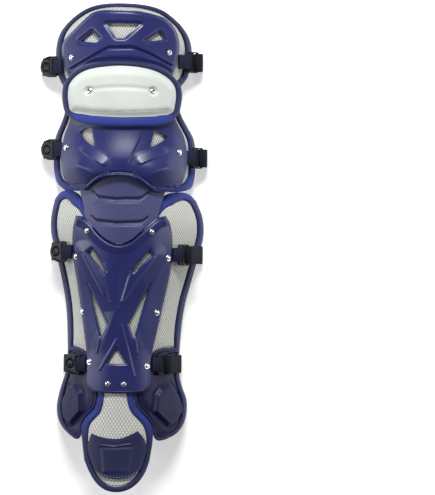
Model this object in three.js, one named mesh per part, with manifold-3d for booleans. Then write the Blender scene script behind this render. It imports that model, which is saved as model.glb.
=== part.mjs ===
// Baseball catcher's leg guard, lying on its straps with its front up.
// Millimetres. +X is the side of the slides, +Y runs from the toe to the thigh, +Z is up.
// Every padded panel and moulded plate is a sheet bent over one form, the arched section of
// the leg, and lies at its own offset from the outer face of the pads.
import * as THREE from 'three';
import { mergeVertices } from 'three/addons/utils/BufferGeometryUtils.js';
import Module from 'manifold-3d';

const wasm = await Module();
wasm.setup();

// Half widths and lengths of the padded panels
const THIGH_HALF = 87;
const THIGH_LENGTH = 117;
const KNEE_LENGTH = 116;
const SHIN_LENGTH = 206;
const ANKLE_HALF = 83;
const ANKLE_LENGTH = 107;
const TOE_HALF = 45;
const TOE_REACH = 69;
const TONGUE_TUCK = 34;
const FLAP_HALF = 76;
const FLAP_LENGTH = 82;

// Moulded plates
const KNEE_SHELL_HALF = 78;
const KNEE_MARGIN = 12; // of the knee pad beyond its shell
const KNEE_HALF = KNEE_SHELL_HALF + KNEE_MARGIN;
const KNEE_SHELL_LENGTH = 100;
const SHIN_SHELL_HALF = 64;
const SHIN_WING = 34; // of the shin pad beyond its shell
const SHIN_HALF = SHIN_SHELL_HALF + SHIN_WING;
const FLEX_HALF = 54;
const FLEX_TUCK = 29;
const SHELL_WALL = 2.7;
const FLEX_WALL = 2.4;
const CAP_WALL = 3;
const KNEE_BULGE = 9;
const LIP_LIFT = 5.4;
const THIGH_RELIEF = 3.2;
const SHIN_RELIEF = 5;
const FLEX_RELIEF = 1.6;
const CAP_RISE = 2.5;

// Padding, tape and gaps
const ARCH_HEIGHT = 66;
const PAD_THICK = 10;
const EDGE_THICK = 7;
const FLAP_THICK = 12;
const BINDING_WIDTH = 5;
const WIDE_BINDING = 7;
const FLAP_BINDING = 6;
const ANKLE_BINDING = 4;
const PANEL_SPLIT = 5.5;
const KNEE_SPLIT = 3.6;
const SEAM = 1.2;
const RIVET_GAP = 0.45;
const GAP = 0.3;

// Steps across and along an ankle pad and the flex panel
const ANKLE_COLUMNS = 5;
const ANKLE_ROWS = 8;
const FLEX_STEPS = 8;

// Fittings on the edges
const RIVET_RADIUS = 3.2;
const BAR_RIVET_RADIUS = 3.9;
const WEB_THICK = 2;
const TAB_WIDTH = 18;
const STRAP_WIDTH = 23;
const RING_LENGTH = 26;
const RING_WIDTH = 27;
const RING_THICK = 3.5;
const BAR = 2;
const EYE_RADIUS = 5.5;
const SLIDE_SLOT = 6;
const RING_RIM = 4.5;
const HOOK_THICK = 2;
const TURN_ROOM = 2.5;

// Lines across the guard, measured from the line between knee pad and shin pad
const kneeFoot = KNEE_SPLIT / 2;
const kneeTop = kneeFoot + KNEE_LENGTH;
const thighFoot = kneeTop + PANEL_SPLIT;
const thighTop = thighFoot + THIGH_LENGTH;
const shinTop = -kneeFoot;
const shinFoot = shinTop - SHIN_LENGTH;
const ankleFoot = shinFoot - ANKLE_LENGTH;
const toeTip = ankleFoot - TOE_REACH;
const tongueTop = shinFoot - TONGUE_TUCK;
const flapMiddle = thighFoot + 1;
const flapFoot = flapMiddle - FLAP_LENGTH / 2;

// Sections of the form, each its station, the half width there, then shift and half as
// shares of that width, and rise and crown as shares of the arch height
const sections = [
  [toeTip, TOE_HALF, 0, 1.69, 0.91, 1.045],
  [toeTip + 0.5 * TOE_REACH, TOE_HALF, 0, 1.78, 1.0, 0.955],
  [ankleFoot, ANKLE_HALF, 0.04, 1.13, 1.39, 0.925],
  [ankleFoot + 0.38 * ANKLE_LENGTH, ANKLE_HALF, 0.057, 1.115, 1.515, 0.93],
  [ankleFoot + 0.87 * ANKLE_LENGTH, ANKLE_HALF, 0.057, 0.975, 1.545, 0.945],
  [shinFoot + 0.04 * SHIN_LENGTH, SHIN_HALF, 0.055, 0.82, 1.545, 0.945],
  [shinFoot + 0.33 * SHIN_LENGTH, SHIN_HALF, 0.079, 0.89, 1.6, 1.0],
  [shinFoot + 0.78 * SHIN_LENGTH, SHIN_HALF, 0.077, 1.12, 1.79, 1.085],
  [0, KNEE_HALF, 0.05, 1.13, 1.73, 1.06],
  [kneeFoot + 0.44 * KNEE_LENGTH, KNEE_HALF, 0.03, 1.12, 1.79, 1.115],
  [kneeTop, KNEE_HALF, -0.017, 1.07, 1.67, 1.07],
  [thighFoot + 0.44 * THIGH_LENGTH, THIGH_HALF, -0.006, 1.12, 1.62, 1.0],
  [thighTop, THIGH_HALF, -0.01, 1.13, 1.58, 0.92]
].map(([y, width, shift, half, rise, crown]) => ({
  y,
  shift: shift * width,
  half: half * width,
  rise: rise * ARCH_HEIGHT,
  crown: crown * ARCH_HEIGHT
}));

const smooth = (low, high, value) => THREE.MathUtils.smoothstep(value, low, high);

// One column of the sections at a station, on a curve that runs through every row
function blend(column, y) {
  const last = sections.length - 1;
  let low = 0;
  while (low < last - 1 && y > sections[low + 1].y) low += 1;
  const slope = (row) => {
    const before = sections[Math.max(row - 1, 0)];
    const after = sections[Math.min(row + 1, last)];
    return (after[column] - before[column]) / (after.y - before.y);
  };
  const here = sections[low];
  const next = sections[low + 1];
  const span = next.y - here.y;
  const t = THREE.MathUtils.clamp((y - here.y) / span, 0, 1);
  const t2 = t * t;
  const t3 = t2 * t;
  return (2 * t3 - 3 * t2 + 1) * here[column] + (t3 - 2 * t2 + t) * span * slope(low)
    + (3 * t2 - 2 * t3) * next[column] + (t3 - t2) * span * slope(low + 1);
}

// The point at an offset from the pads' outer face, square to the form over the point that
// is at (x, y) as seen from above where the offset is level
function bend(x, y, offset, level = offset) {
  const shift = blend('shift', y);
  const half = blend('half', y);
  const rise = blend('rise', y);
  const base = blend('crown', y) - rise;
  const sine = THREE.MathUtils.clamp((x - shift) / (half + level), -0.98, 0.98);
  const cosine = Math.sqrt(1 - sine * sine);
  return new THREE.Vector3(shift + (half + offset) * sine, y, base + (rise + offset) * cosine);
}

// Outlines have four sides, each a list of [across, along] shares of a half width and a
// length: bottom and top run from left to right, left and right run from foot to top
const run = (points, count) => new THREE.SplineCurve(points).getSpacedPoints(count);

// The least share of a full mitre at a corner of an outline that is moved inwards
const MITRE_LIMIT = 0.92;

function outline(table, half, foot, length, columns, rows) {
  const side = (points, count) => run(points.map(([across, along]) => {
    return new THREE.Vector2(across * half, foot + along * length);
  }), count);
  return {
    bottom: side(table.bottom, columns),
    top: side(table.top, columns),
    left: side(table.left, rows),
    right: side(table.right, rows)
  };
}

function loopOf(sides) {
  return [
    ...sides.bottom.slice(0, -1),
    ...sides.right.slice(0, -1),
    ...sides.top.slice(1).reverse(),
    ...sides.left.slice(1).reverse()
  ];
}

function sidesOf(loop, columns, rows) {
  const ring = [...loop, loop[0]];
  return {
    bottom: ring.slice(0, columns + 1),
    right: ring.slice(columns, columns + rows + 1),
    top: ring.slice(columns + rows, 2 * columns + rows + 1).reverse(),
    left: ring.slice(2 * columns + rows, 2 * columns + 2 * rows + 1).reverse()
  };
}

// The outline moved inwards, square to itself, by a width seen from above
function inset(sides, width) {
  const columns = sides.bottom.length - 1;
  const rows = sides.left.length - 1;
  const loop = loopOf(sides);
  const moved = loop.map((point, index) => {
    const before = loop[(index + loop.length - 1) % loop.length];
    const after = loop[(index + 1) % loop.length];
    const into = point.clone().sub(before).normalize();
    const out = after.clone().sub(point).normalize();
    const lean = into.clone().add(out).normalize();
    const reach = width / Math.max(MITRE_LIMIT, lean.dot(out));
    return new THREE.Vector2(point.x - lean.y * reach, point.y + lean.x * reach);
  });
  return sidesOf(moved, columns, rows);
}

function patch(sides, s, t) {
  const pick = (side, share) => side[Math.round(share * (side.length - 1))];
  const value = (key) => {
    const across = (1 - t) * pick(sides.bottom, s)[key] + t * pick(sides.top, s)[key];
    const upward = (1 - s) * pick(sides.left, t)[key] + s * pick(sides.right, t)[key];
    const corners = (1 - t) * ((1 - s) * sides.bottom[0][key] + s * sides.bottom.at(-1)[key])
      + t * ((1 - s) * sides.top[0][key] + s * sides.top.at(-1)[key]);
    return across + upward - corners;
  };
  return new THREE.Vector2(value('x'), value('y'));
}

function solidGeometry(points, faces) {
  const geometry = new THREE.BufferGeometry();
  const values = points.flatMap((point) => point.toArray());
  geometry.setAttribute('position', new THREE.Float32BufferAttribute(values, 3));
  geometry.setIndex(faces.flat());
  return geometry;
}

// A closed sheet inside an outline: over and under give its two faces' offsets at a point,
// and level is the offset at which the outline is as seen from above
function sheet(sides, over, under, level = 0) {
  const columns = sides.bottom.length - 1;
  const rows = sides.left.length - 1;
  const points = [];
  const faces = [];
  const layer = (offsetOf) => {
    for (let row = 0; row <= rows; row += 1) {
      for (let column = 0; column <= columns; column += 1) {
        const s = column / columns;
        const t = row / rows;
        const place = patch(sides, s, t);
        points.push(bend(place.x, place.y, offsetOf(place.x, place.y, s, t), level));
      }
    }
  };
  layer(over);
  layer(under);
  const stride = columns + 1;
  const below = stride * (rows + 1);
  for (let row = 0; row < rows; row += 1) {
    for (let column = 0; column < columns; column += 1) {
      const a = row * stride + column;
      const b = a + 1;
      const c = b + stride;
      const d = a + stride;
      faces.push([a, b, c], [a, c, d]);
      faces.push([below + a, below + c, below + b], [below + a, below + d, below + c]);
    }
  }
  const rim = [];
  for (let column = 0; column < columns; column += 1) rim.push(column);
  for (let row = 0; row < rows; row += 1) rim.push(row * stride + columns);
  for (let column = columns; column > 0; column -= 1) rim.push(rows * stride + column);
  for (let row = rows; row > 0; row -= 1) rim.push(row * stride);
  rim.forEach((here, index) => {
    const next = rim[(index + 1) % rim.length];
    faces.push([here, below + here, below + next], [here, below + next, next]);
  });
  return solidGeometry(points, faces);
}

// Tape round an edge: a closed band between an outline and the same outline moved inwards,
// a little rounder at its outer edge
const TAPE_ROUND = 0.8;
const TAPE_OVER = -0.3;
const TAPE_UNDER = -EDGE_THICK - 1.4;

function tape(sides, width, over = TAPE_OVER, under = TAPE_UNDER, level = 0) {
  const outer = loopOf(sides);
  const inner = loopOf(inset(sides, width));
  const count = outer.length;
  const rings = [[outer, over - TAPE_ROUND], [inner, over], [inner, under], [outer, under + TAPE_ROUND]];
  const points = rings.flatMap(([loop, offset]) => loop.map((p) => bend(p.x, p.y, offset, level)));
  const faces = [];
  rings.forEach((ring, index) => {
    const from = index * count;
    const to = ((index + 1) % rings.length) * count;
    for (let step = 0; step < count; step += 1) {
      const next = (step + 1) % count;
      faces.push([from + step, from + next, to + next], [from + step, to + next, to + step]);
    }
  });
  return solidGeometry(points, faces);
}

function toManifold(geometry) {
  const position = geometry.getAttribute('position');
  return new wasm.Manifold(new wasm.Mesh({
    numProp: 3,
    vertProperties: new Float32Array(position.array),
    triVerts: new Uint32Array(geometry.getIndex().array)
  }));
}

function merged(geometry) {
  geometry.deleteAttribute('normal');
  geometry.deleteAttribute('uv');
  return mergeVertices(geometry);
}

function fromManifold(solid) {
  const mesh = solid.getMesh();
  const geometry = new THREE.BufferGeometry();
  geometry.setAttribute('position', new THREE.BufferAttribute(mesh.vertProperties, 3));
  geometry.setIndex(new THREE.BufferAttribute(mesh.triVerts, 1));
  return geometry;
}

// Offsets between which a window's cutter runs, clear of every plate's two faces
const CUT_LOW = -6;
const CUT_HIGH = 28;

// A window's cutter: its outline seen from above, run square through the form
function windowCutter(corners, low, high) {
  const shape = corners.map(([x, y]) => new THREE.Vector2(x, y));
  if (THREE.ShapeUtils.isClockWise(shape)) shape.reverse();
  const middle = (low + high) / 2;
  const count = shape.length;
  const points = [high, low].flatMap((offset) => shape.map((p) => bend(p.x, p.y, offset, middle)));
  const faces = [];
  THREE.ShapeUtils.triangulateShape(shape, []).forEach(([a, b, c]) => {
    faces.push([a, b, c], [count + a, count + c, count + b]);
  });
  shape.forEach((point, index) => {
    const next = (index + 1) % count;
    faces.push([index, count + index, count + next], [index, count + next, next]);
  });
  return solidGeometry(points, faces);
}

function cutWindows(geometry, windows, half, foot, length) {
  let solid = toManifold(geometry);
  windows.forEach((corners) => {
    const places = corners.map(([across, along]) => [across * half, foot + along * length]);
    solid = solid.subtract(toManifold(windowCutter(places, CUT_LOW, CUT_HIGH)));
  });
  return fromManifold(solid);
}

const colours = {
  navyPlate: { color: 0x33356f, roughness: 0.42, metalness: 0 },
  navyFlex: { color: 0x4c4d82, roughness: 0.5, metalness: 0 },
  navyTape: { color: 0x1c2a7c, roughness: 0.75, metalness: 0 },
  navyPad: { color: 0x2a2650, roughness: 0.7, metalness: 0 },
  knit: { color: 0xcdd0c8, roughness: 0.9, metalness: 0 },
  greyLeather: { color: 0xd5d9d2, roughness: 0.6, metalness: 0 },
  blackPlastic: { color: 0x191d26, roughness: 0.45, metalness: 0 },
  elastic: { color: 0x121722, roughness: 0.85, metalness: 0 },
  webbing: { color: 0x2d3260, roughness: 0.85, metalness: 0 },
  chrome: { color: 0xd8dade, roughness: 0.18, metalness: 1 }
};

const group = new THREE.Group();

function add(name, geometry, colour) {
  const mesh = new THREE.Mesh(geometry, new THREE.MeshStandardMaterial(colours[colour]));
  mesh.name = name;
  group.add(mesh);
  return mesh;
}

// Padded panels: full in the middle and thinner at the tape
const fullness = (s, t) => (1 - (2 * s - 1) ** 6) * (1 - (2 * t - 1) ** 6);
const EDGE_DROP = 1;
const padOver = (x, y, s, t) => EDGE_DROP * (fullness(s, t) - 1);
const padUnder = (x, y, s, t) => {
  const edge = EDGE_THICK + EDGE_DROP;
  return -edge - (PAD_THICK - edge) * fullness(s, t);
};

function paddedPanel(name, tapeName, sides, tapeWidth, colour = 'knit') {
  add(name, sheet(inset(sides, tapeWidth + GAP), padOver, padUnder), colour);
  add(tapeName, tape(sides, tapeWidth), 'navyTape');
}

const thighSides = outline({
  bottom: [[-0.8, 0], [-0.04, 0], [0.78, 0]],
  right: [[0.78, 0], [0.84, 0.1], [0.93, 0.2], [0.98, 0.39], [0.99, 0.53], [0.95, 0.66], [0.83, 0.79]],
  top: [[-0.83, 0.79], [-0.65, 0.9], [-0.42, 0.975], [-0.09, 1], [0.32, 0.985], [0.6, 0.925],
    [0.83, 0.79]],
  left: [[-0.8, 0], [-0.89, 0.11], [-0.95, 0.2], [-0.98, 0.37], [-1, 0.5], [-0.95, 0.67], [-0.83, 0.79]]
}, THIGH_HALF, thighFoot, THIGH_LENGTH, 12, 7);
paddedPanel('thigh_pad', 'thigh_binding', thighSides, BINDING_WIDTH);

const kneeSides = outline({
  bottom: [[-0.79, 0], [-0.3, -0.005], [0.2, -0.005], [0.8, 0]],
  right: [[0.8, 0], [0.94, 0.02], [1.02, 0.12], [1.035, 0.3], [1.03, 0.48], [0.98, 0.64],
    [0.86, 0.78], [0.78, 0.97]],
  top: [[-0.8, 0.97], [-0.04, 1], [0.78, 0.97]],
  left: [[-0.79, 0], [-0.88, 0.03], [-0.95, 0.15], [-0.975, 0.32], [-0.965, 0.48], [-0.93, 0.64],
    [-0.84, 0.78], [-0.8, 0.97]]
}, KNEE_HALF, kneeFoot, KNEE_LENGTH, 12, 8);
paddedPanel('knee_pad', 'knee_binding', kneeSides, BINDING_WIDTH);

const shinSides = outline({
  bottom: [[-0.67, 0.02], [-0.45, -0.01], [-0.24, -0.1], [0, -0.13], [0.26, -0.1], [0.5, 0],
    [0.78, 0.02]],
  right: [[0.78, 0.02], [0.8, 0.15], [0.84, 0.3], [0.92, 0.45], [1.02, 0.63], [1.075, 0.76],
    [1.05, 0.87], [0.965, 0.955]],
  top: [[-0.865, 0.955], [-0.82, 0.985], [-0.745, 1], [-0.62, 0.998], [-0.535, 0.965], [-0.47, 0.9],
    [-0.4, 0.83], [-0.27, 0.79], [0, 0.775], [0.28, 0.79], [0.42, 0.83], [0.48, 0.9], [0.54, 0.96],
    [0.66, 0.997], [0.86, 0.995], [0.965, 0.955]],
  left: [[-0.67, 0.02], [-0.68, 0.14], [-0.7, 0.29], [-0.76, 0.45], [-0.86, 0.65], [-0.92, 0.77],
    [-0.91, 0.87], [-0.865, 0.955]]
}, SHIN_HALF, shinFoot, SHIN_LENGTH, 18, 9);
paddedPanel('shin_pad', 'shin_binding', shinSides, BINDING_WIDTH);

// The tongue and toe pad: one outline, narrow between the ankle pads and round at the toe
const toeSides = outline({
  bottom: [[-0.93, 0.28], [-0.72, 0.14], [-0.42, 0.035], [0, 0], [0.45, 0.04], [0.77, 0.15], [0.93, 0.28]],
  right: [[0.93, 0.28], [1.01, 0.45], [1, 0.57], [0.86, 0.66], [0.58, 0.75], [0.46, 0.84], [0.45, 1]],
  top: [[-0.59, 1], [-0.07, 1], [0.45, 1]],
  left: [[-0.93, 0.28], [-0.99, 0.42], [-1.03, 0.57], [-0.92, 0.66], [-0.68, 0.74], [-0.59, 0.84],
    [-0.59, 1]]
}, TOE_HALF, toeTip, tongueTop - toeTip, 8, 12);
paddedPanel('toe_pad', 'toe_binding', toeSides, WIDE_BINDING);

// Ankle pads: each fills the corner between the shin pad's foot and the tongue, so its
// inner and upper edges follow theirs, a seam apart, and its outer edge has its own points
const ankleOuter = {
  left: [[-0.66, -0.005], [-0.8, 0.06], [-0.92, 0.2], [-0.95, 0.33], [-0.93, 0.46], [-0.87, 0.64],
    [-0.81, 0.8]],
  right: [[0.7, -0.015], [0.9, 0.05], [1.01, 0.17], [1.05, 0.33], [1.04, 0.46], [0.96, 0.64],
    [0.92, 0.8]]
};
const ankleBlock = { across: 0.72, along: 0.4, halfWidth: 13, halfLength: 27, height: 3 };
const TONGUE_SEAM = 1.7;

function anklePad(label, side) {
  const outerPoints = ankleOuter[label].map(([across, along]) => {
    return new THREE.Vector2(across * ANKLE_HALF, ankleFoot + along * ANKLE_LENGTH);
  });
  const tongueSide = side < 0 ? toeSides.left : toeSides.right;
  const innerPoints = tongueSide.filter((point) => point.y > ankleFoot + SEAM).map((point) => {
    return new THREE.Vector2(point.x + side * TONGUE_SEAM, point.y);
  });
  const seamEnd = innerPoints.at(-1).x;
  const outside = (point) => point.x * side > seamEnd * side;
  const upperPoints = shinSides.bottom.filter(outside).map((point) => {
    return new THREE.Vector2(point.x, point.y - SEAM);
  });
  if (side > 0) upperPoints.reverse();
  const outerTop = upperPoints[0];
  const innerTop = upperPoints.at(-1);
  const outerRun = run([...outerPoints, outerTop], ANKLE_ROWS);
  const innerRun = run([...innerPoints, innerTop], ANKLE_ROWS);
  const upperRun = run(upperPoints, ANKLE_COLUMNS);
  const lowerRun = run([outerPoints[0], innerPoints[0]], ANKLE_COLUMNS);
  const sides = side < 0
    ? { bottom: lowerRun, top: upperRun, left: outerRun, right: innerRun }
    : { bottom: lowerRun.reverse(), top: upperRun.reverse(), left: innerRun, right: outerRun };
  const centre = side * ankleBlock.across * ANKLE_HALF;
  const middle = ankleFoot + ankleBlock.along * ANKLE_LENGTH;
  const over = (x, y, s, t) => {
    const across = (x - centre) / ankleBlock.halfWidth;
    const reach = Math.hypot(across, (y - middle) / ankleBlock.halfLength);
    return padOver(x, y, s, t) + ankleBlock.height * (1 - smooth(0.8, 1.25, reach));
  };
  add(`ankle_pad_${label}`, sheet(inset(sides, ANKLE_BINDING + 2 * GAP), over, padUnder), 'navyPad');
  add(`ankle_binding_${label}`, tape(sides, ANKLE_BINDING), 'navyTape');
  return sides;
}
const ankleLeft = anklePad('left', -1);
const ankleRight = anklePad('right', 1);

// How far along the guard an edge lies at a place across it
const edgeHeight = (side, x) => {
  const after = side.findIndex((point) => point.x > x);
  if (after <= 0) return (after === 0 ? side[0] : side.at(-1)).y;
  const [a, b] = [side[after - 1], side[after]];
  return a.y + (b.y - a.y) * (x - a.x) / (b.x - a.x);
};

// A ridge's height at a point: full on the line from one end to the other, none at its width
function ridge(x, y, [ax, ay], [bx, by], width, height) {
  const squared = (bx - ax) ** 2 + (by - ay) ** 2;
  const onLine = ((x - ax) * (bx - ax) + (y - ay) * (by - ay)) / squared;
  const share = THREE.MathUtils.clamp(onLine, 0, 1);
  const distance = Math.hypot(x - ax - share * (bx - ax), y - ay - share * (by - ay));
  return height * Math.max(0, 1 - distance / width);
}

const flapSides = outline({
  bottom: [[-0.8, 0.08], [-0.6, 0.02], [-0.3, -0.005], [0, -0.015], [0.3, -0.005], [0.62, 0.02],
    [0.83, 0.09]],
  right: [[0.83, 0.09], [0.94, 0.22], [0.98, 0.42], [0.98, 0.57], [0.94, 0.68], [0.85, 0.78]],
  top: [[-0.87, 0.79], [-0.7, 0.9], [-0.45, 0.965], [-0.05, 1], [0.35, 0.975], [0.65, 0.9], [0.85, 0.78]],
  left: [[-0.8, 0.08], [-0.95, 0.2], [-1, 0.4], [-1, 0.58], [-0.96, 0.69], [-0.87, 0.79]]
}, FLAP_HALF, flapFoot, FLAP_LENGTH, 12, 5);

// The padded bar lies on the ends of the thigh plate and the knee cap
const flapUnder = SHELL_WALL + 2 * GAP;
const flapLevel = flapUnder + EDGE_THICK;
const flapOver = (x, y, s, t) => flapLevel + (FLAP_THICK - EDGE_THICK) * fullness(s, t);
const flapBack = () => flapUnder + TAPE_ROUND;
const flapSheet = sheet(inset(flapSides, FLAP_BINDING + GAP), flapOver, flapBack, flapLevel);
add('knee_flap', flapSheet, 'greyLeather');
const flapTape = tape(flapSides, FLAP_BINDING, flapLevel + GAP, flapUnder, flapLevel);
add('knee_flap_binding', flapTape, 'navyTape');

// Thigh plate: raised above a crease that arches over the padded bar
const thighAt = ([across, along]) => {
  return new THREE.Vector2(across * THIGH_HALF, thighFoot + along * THIGH_LENGTH);
};
const thighCrease = [
  [-0.8, 0.25], [-0.49, 0.38], [-0.21, 0.49], [0.11, 0.5], [0.39, 0.43], [0.75, 0.3]
].map(thighAt);
const CREASE_SLOPE = 5;
const FLAP_CLEARANCE = 1;
const thighRelief = (x, y) => {
  const raised = smooth(0, CREASE_SLOPE, Math.abs(y - edgeHeight(thighCrease, x)));
  const clear = smooth(0, 7, y - edgeHeight(flapSides.top, x) - FLAP_CLEARANCE);
  return THIGH_RELIEF * raised * clear;
};
const thighPlate = outline({
  bottom: [[-0.72, 0.08], [0, 0.07], [0.66, 0.08]],
  right: [[0.66, 0.08], [0.71, 0.2], [0.76, 0.33], [0.8, 0.46], [0.81, 0.58], [0.77, 0.7], [0.69, 0.79]],
  top: [[-0.8, 0.65], [-0.65, 0.76], [-0.52, 0.85], [-0.38, 0.91], [-0.05, 0.925], [0.2, 0.915],
    [0.42, 0.885], [0.6, 0.845], [0.69, 0.79]],
  left: [[-0.72, 0.08], [-0.79, 0.18], [-0.86, 0.33], [-0.9, 0.46], [-0.89, 0.57], [-0.8, 0.65]]
}, THIGH_HALF, thighFoot, THIGH_LENGTH, 14, 9);
const thighWindows = [
  [[-0.25, 0.775], [0.25, 0.775], [0.02, 0.62], [-0.1, 0.62]],
  [[-0.45, 0.69], [-0.33, 0.6], [-0.39, 0.56], [-0.63, 0.58]],
  [[0.53, 0.7], [0.6, 0.61], [0.31, 0.58]]
];

// Knee cap: lifted off the pad towards its rolled lip, with a nose between two cheeks
const kneeAt = ([across, along]) => [across * KNEE_SHELL_HALF, along * KNEE_SHELL_LENGTH];
const kneeRelief = (x, y) => {
  const along = y / KNEE_SHELL_LENGTH;
  const across = x / KNEE_SHELL_HALF;
  const clear = smooth(0, 30, flapFoot - FLAP_CLEARANCE - y);
  const dome = (1 - Math.min(1, across * across) ** 2) * smooth(-0.1, 0.35, along);
  const nose = ridge(x, y, kneeAt([0.02, 0.7]), kneeAt([-0.04, 0.5]), 28, 5);
  const cheeks = Math.max(
    ridge(x, y, kneeAt([-0.6, 0.36]), kneeAt([-0.4, 0.24]), 26, 5),
    ridge(x, y, kneeAt([0.66, 0.36]), kneeAt([0.44, 0.24]), 26, 5)
  );
  return clear * (LIP_LIFT + KNEE_BULGE * dome + Math.max(nose, cheeks) - 2);
};
const kneePlate = outline({
  bottom: [[-0.76, 0.045], [-0.66, 0.015], [-0.54, 0.01], [-0.45, 0.07], [-0.35, 0.135],
    [-0.2, 0.185], [-0.03, 0.2], [0.15, 0.185], [0.3, 0.13], [0.42, 0.06], [0.55, -0.005],
    [0.67, -0.01], [0.8, 0.025]],
  right: [[0.8, 0.025], [0.9, 0.07], [0.985, 0.2], [1.035, 0.38], [1.04, 0.56], [1, 0.73],
    [0.9, 0.88], [0.82, 1.01]],
  top: [[-0.82, 1], [0, 1.03], [0.82, 1.01]],
  left: [[-0.76, 0.045], [-0.84, 0.1], [-0.91, 0.22], [-0.955, 0.38], [-0.96, 0.56], [-0.93, 0.73],
    [-0.87, 0.86], [-0.82, 1]]
}, KNEE_SHELL_HALF, 0, KNEE_SHELL_LENGTH, 16, 11);
const kneeWindows = [
  [[-0.68, 0.76], [-0.59, 0.8], [-0.49, 0.8], [-0.41, 0.56], [-0.52, 0.6], [-0.64, 0.69]],
  [[0.45, 0.56], [0.49, 0.68], [0.53, 0.77], [0.59, 0.77], [0.74, 0.71], [0.67, 0.65], [0.54, 0.59]]
];

// Shin plate: a cross of ridges between five windows
const shinAt = ([across, along]) => [across * SHIN_SHELL_HALF, shinFoot + along * SHIN_LENGTH];
const shinRidges = [
  [[-0.72, 0.63], [-0.44, 0.45]], [[-0.44, 0.45], [-0.05, 0.27]], [[0.7, 0.62], [0.46, 0.47]],
  [[0.46, 0.47], [-0.02, 0.27]], [[-0.28, 0.5], [-0.12, 0.32]], [[0.24, 0.5], [0.06, 0.32]],
  [[-0.05, 0.27], [-0.38, -0.02]], [[-0.38, -0.02], [-0.4, -0.17]], [[-0.03, 0.27], [0.34, 0]],
  [[0.34, 0], [0.34, -0.15]]
];
const RIDGE_WIDTH = 13;
const shinRelief = (x, y) => {
  const along = (y - shinFoot) / SHIN_LENGTH;
  const fade = smooth(-0.24, -0.19, along) * smooth(1.05, 0.85, Math.abs(x) / SHIN_SHELL_HALF);
  const heights = shinRidges.map(([from, to]) => {
    return ridge(x, y, shinAt(from), shinAt(to), RIDGE_WIDTH, SHIN_RELIEF);
  });
  return fade * Math.max(...heights);
};
const shinPlate = outline({
  bottom: [[-0.5, -0.232], [-0.3, -0.24], [0, -0.242], [0.3, -0.238], [0.5, -0.232]],
  right: [[0.5, -0.232], [0.6, -0.21], [0.645, -0.13], [0.66, 0], [0.74, 0.12], [0.87, 0.31],
    [0.965, 0.45], [1.03, 0.57], [1.04, 0.7], [1, 0.8], [0.9, 0.86]],
  top: [[-0.88, 0.855], [-0.78, 0.855], [-0.61, 0.82], [-0.41, 0.745], [-0.2, 0.695], [0, 0.68],
    [0.2, 0.7], [0.4, 0.755], [0.6, 0.81], [0.8, 0.86], [0.9, 0.86]],
  left: [[-0.5, -0.232], [-0.61, -0.195], [-0.63, -0.1], [-0.64, 0.02], [-0.68, 0.11],
    [-0.77, 0.29], [-0.86, 0.46], [-0.925, 0.575], [-0.955, 0.7], [-0.93, 0.8], [-0.88, 0.855]]
}, SHIN_SHELL_HALF, shinFoot, SHIN_LENGTH, 12, 22);
const shinWindows = [
  [[-0.64, 0.63], [-0.55, 0.655], [-0.26, 0.51], [-0.31, 0.5]],
  [[0.61, 0.655], [0.63, 0.615], [0.27, 0.505], [0.23, 0.515]],
  [[-0.63, 0.43], [-0.23, 0.19], [-0.34, 0.1]],
  [[0.61, 0.44], [0.2, 0.19], [0.31, 0.1]],
  [[-0.03, 0.04], [0.17, -0.06], [-0.23, -0.06]]
];

const plates = {
  thigh_shell: {
    sides: thighPlate, relief: thighRelief, windows: thighWindows,
    half: THIGH_HALF, foot: thighFoot, length: THIGH_LENGTH
  },
  knee_shell: {
    sides: kneePlate, relief: kneeRelief, windows: kneeWindows,
    half: KNEE_SHELL_HALF, foot: 0, length: KNEE_SHELL_LENGTH
  },
  shin_shell: {
    sides: shinPlate, relief: shinRelief, windows: shinWindows,
    half: SHIN_SHELL_HALF, foot: shinFoot, length: SHIN_LENGTH
  }
};
Object.entries(plates).forEach(([name, plate]) => {
  plate.over = (x, y) => GAP + SHELL_WALL + plate.relief(x, y);
  const under = (x, y) => GAP + plate.relief(x, y);
  const whole = sheet(plate.sides, plate.over, under, SHELL_WALL);
  add(name, cutWindows(whole, plate.windows, plate.half, plate.foot, plate.length), 'navyPlate');
});

// Flex panel: tucked under the knee cap's lip and ending along the shin plate's notch, in
// three raised bands with a groove between each
const flexAt = ([across, along]) => new THREE.Vector2(across * FLEX_HALF, along * FLEX_TUCK);
const inNotch = (point) => point.x > -0.84 * FLEX_HALF && point.x < 0.9 * FLEX_HALF;
const notch = shinPlate.top.filter(inNotch).map((point) => {
  return new THREE.Vector2(point.x, point.y + SEAM);
});
const flexSides = {
  bottom: run(notch, FLEX_STEPS),
  right: run([notch.at(-1), ...[[0.93, -0.66], [1.04, 0.1], [0.98, 0.41]].map(flexAt)], FLEX_STEPS),
  top: run([[-0.93, 0.41], [0, 1], [0.98, 0.41]].map(flexAt), FLEX_STEPS),
  left: run([notch[0], ...[[-0.86, -0.69], [-0.95, 0.03], [-0.93, 0.41]].map(flexAt)], FLEX_STEPS)
};
const flexBands = [{ foot: -0.34, top: 1.41 }, { foot: -1.31, top: -0.45 }, { foot: -2.8, top: -1.45 }];
const GROOVE_SLOPE = 5;
const flexRelief = (x, y) => {
  const across = 1 - smooth(0.6, 0.8, Math.abs(x) / FLEX_HALF);
  const along = flexBands.map(({ foot, top }) => {
    const fromFoot = smooth(0, GROOVE_SLOPE, y - foot * FLEX_TUCK);
    return fromFoot * smooth(0, GROOVE_SLOPE, top * FLEX_TUCK - y);
  });
  return FLEX_RELIEF * across * Math.max(...along);
};
const flexOver = (x, y) => GAP + FLEX_WALL + flexRelief(x, y);
add('flex_panel', sheet(flexSides, flexOver, () => GAP, FLEX_WALL), 'navyFlex');

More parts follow.
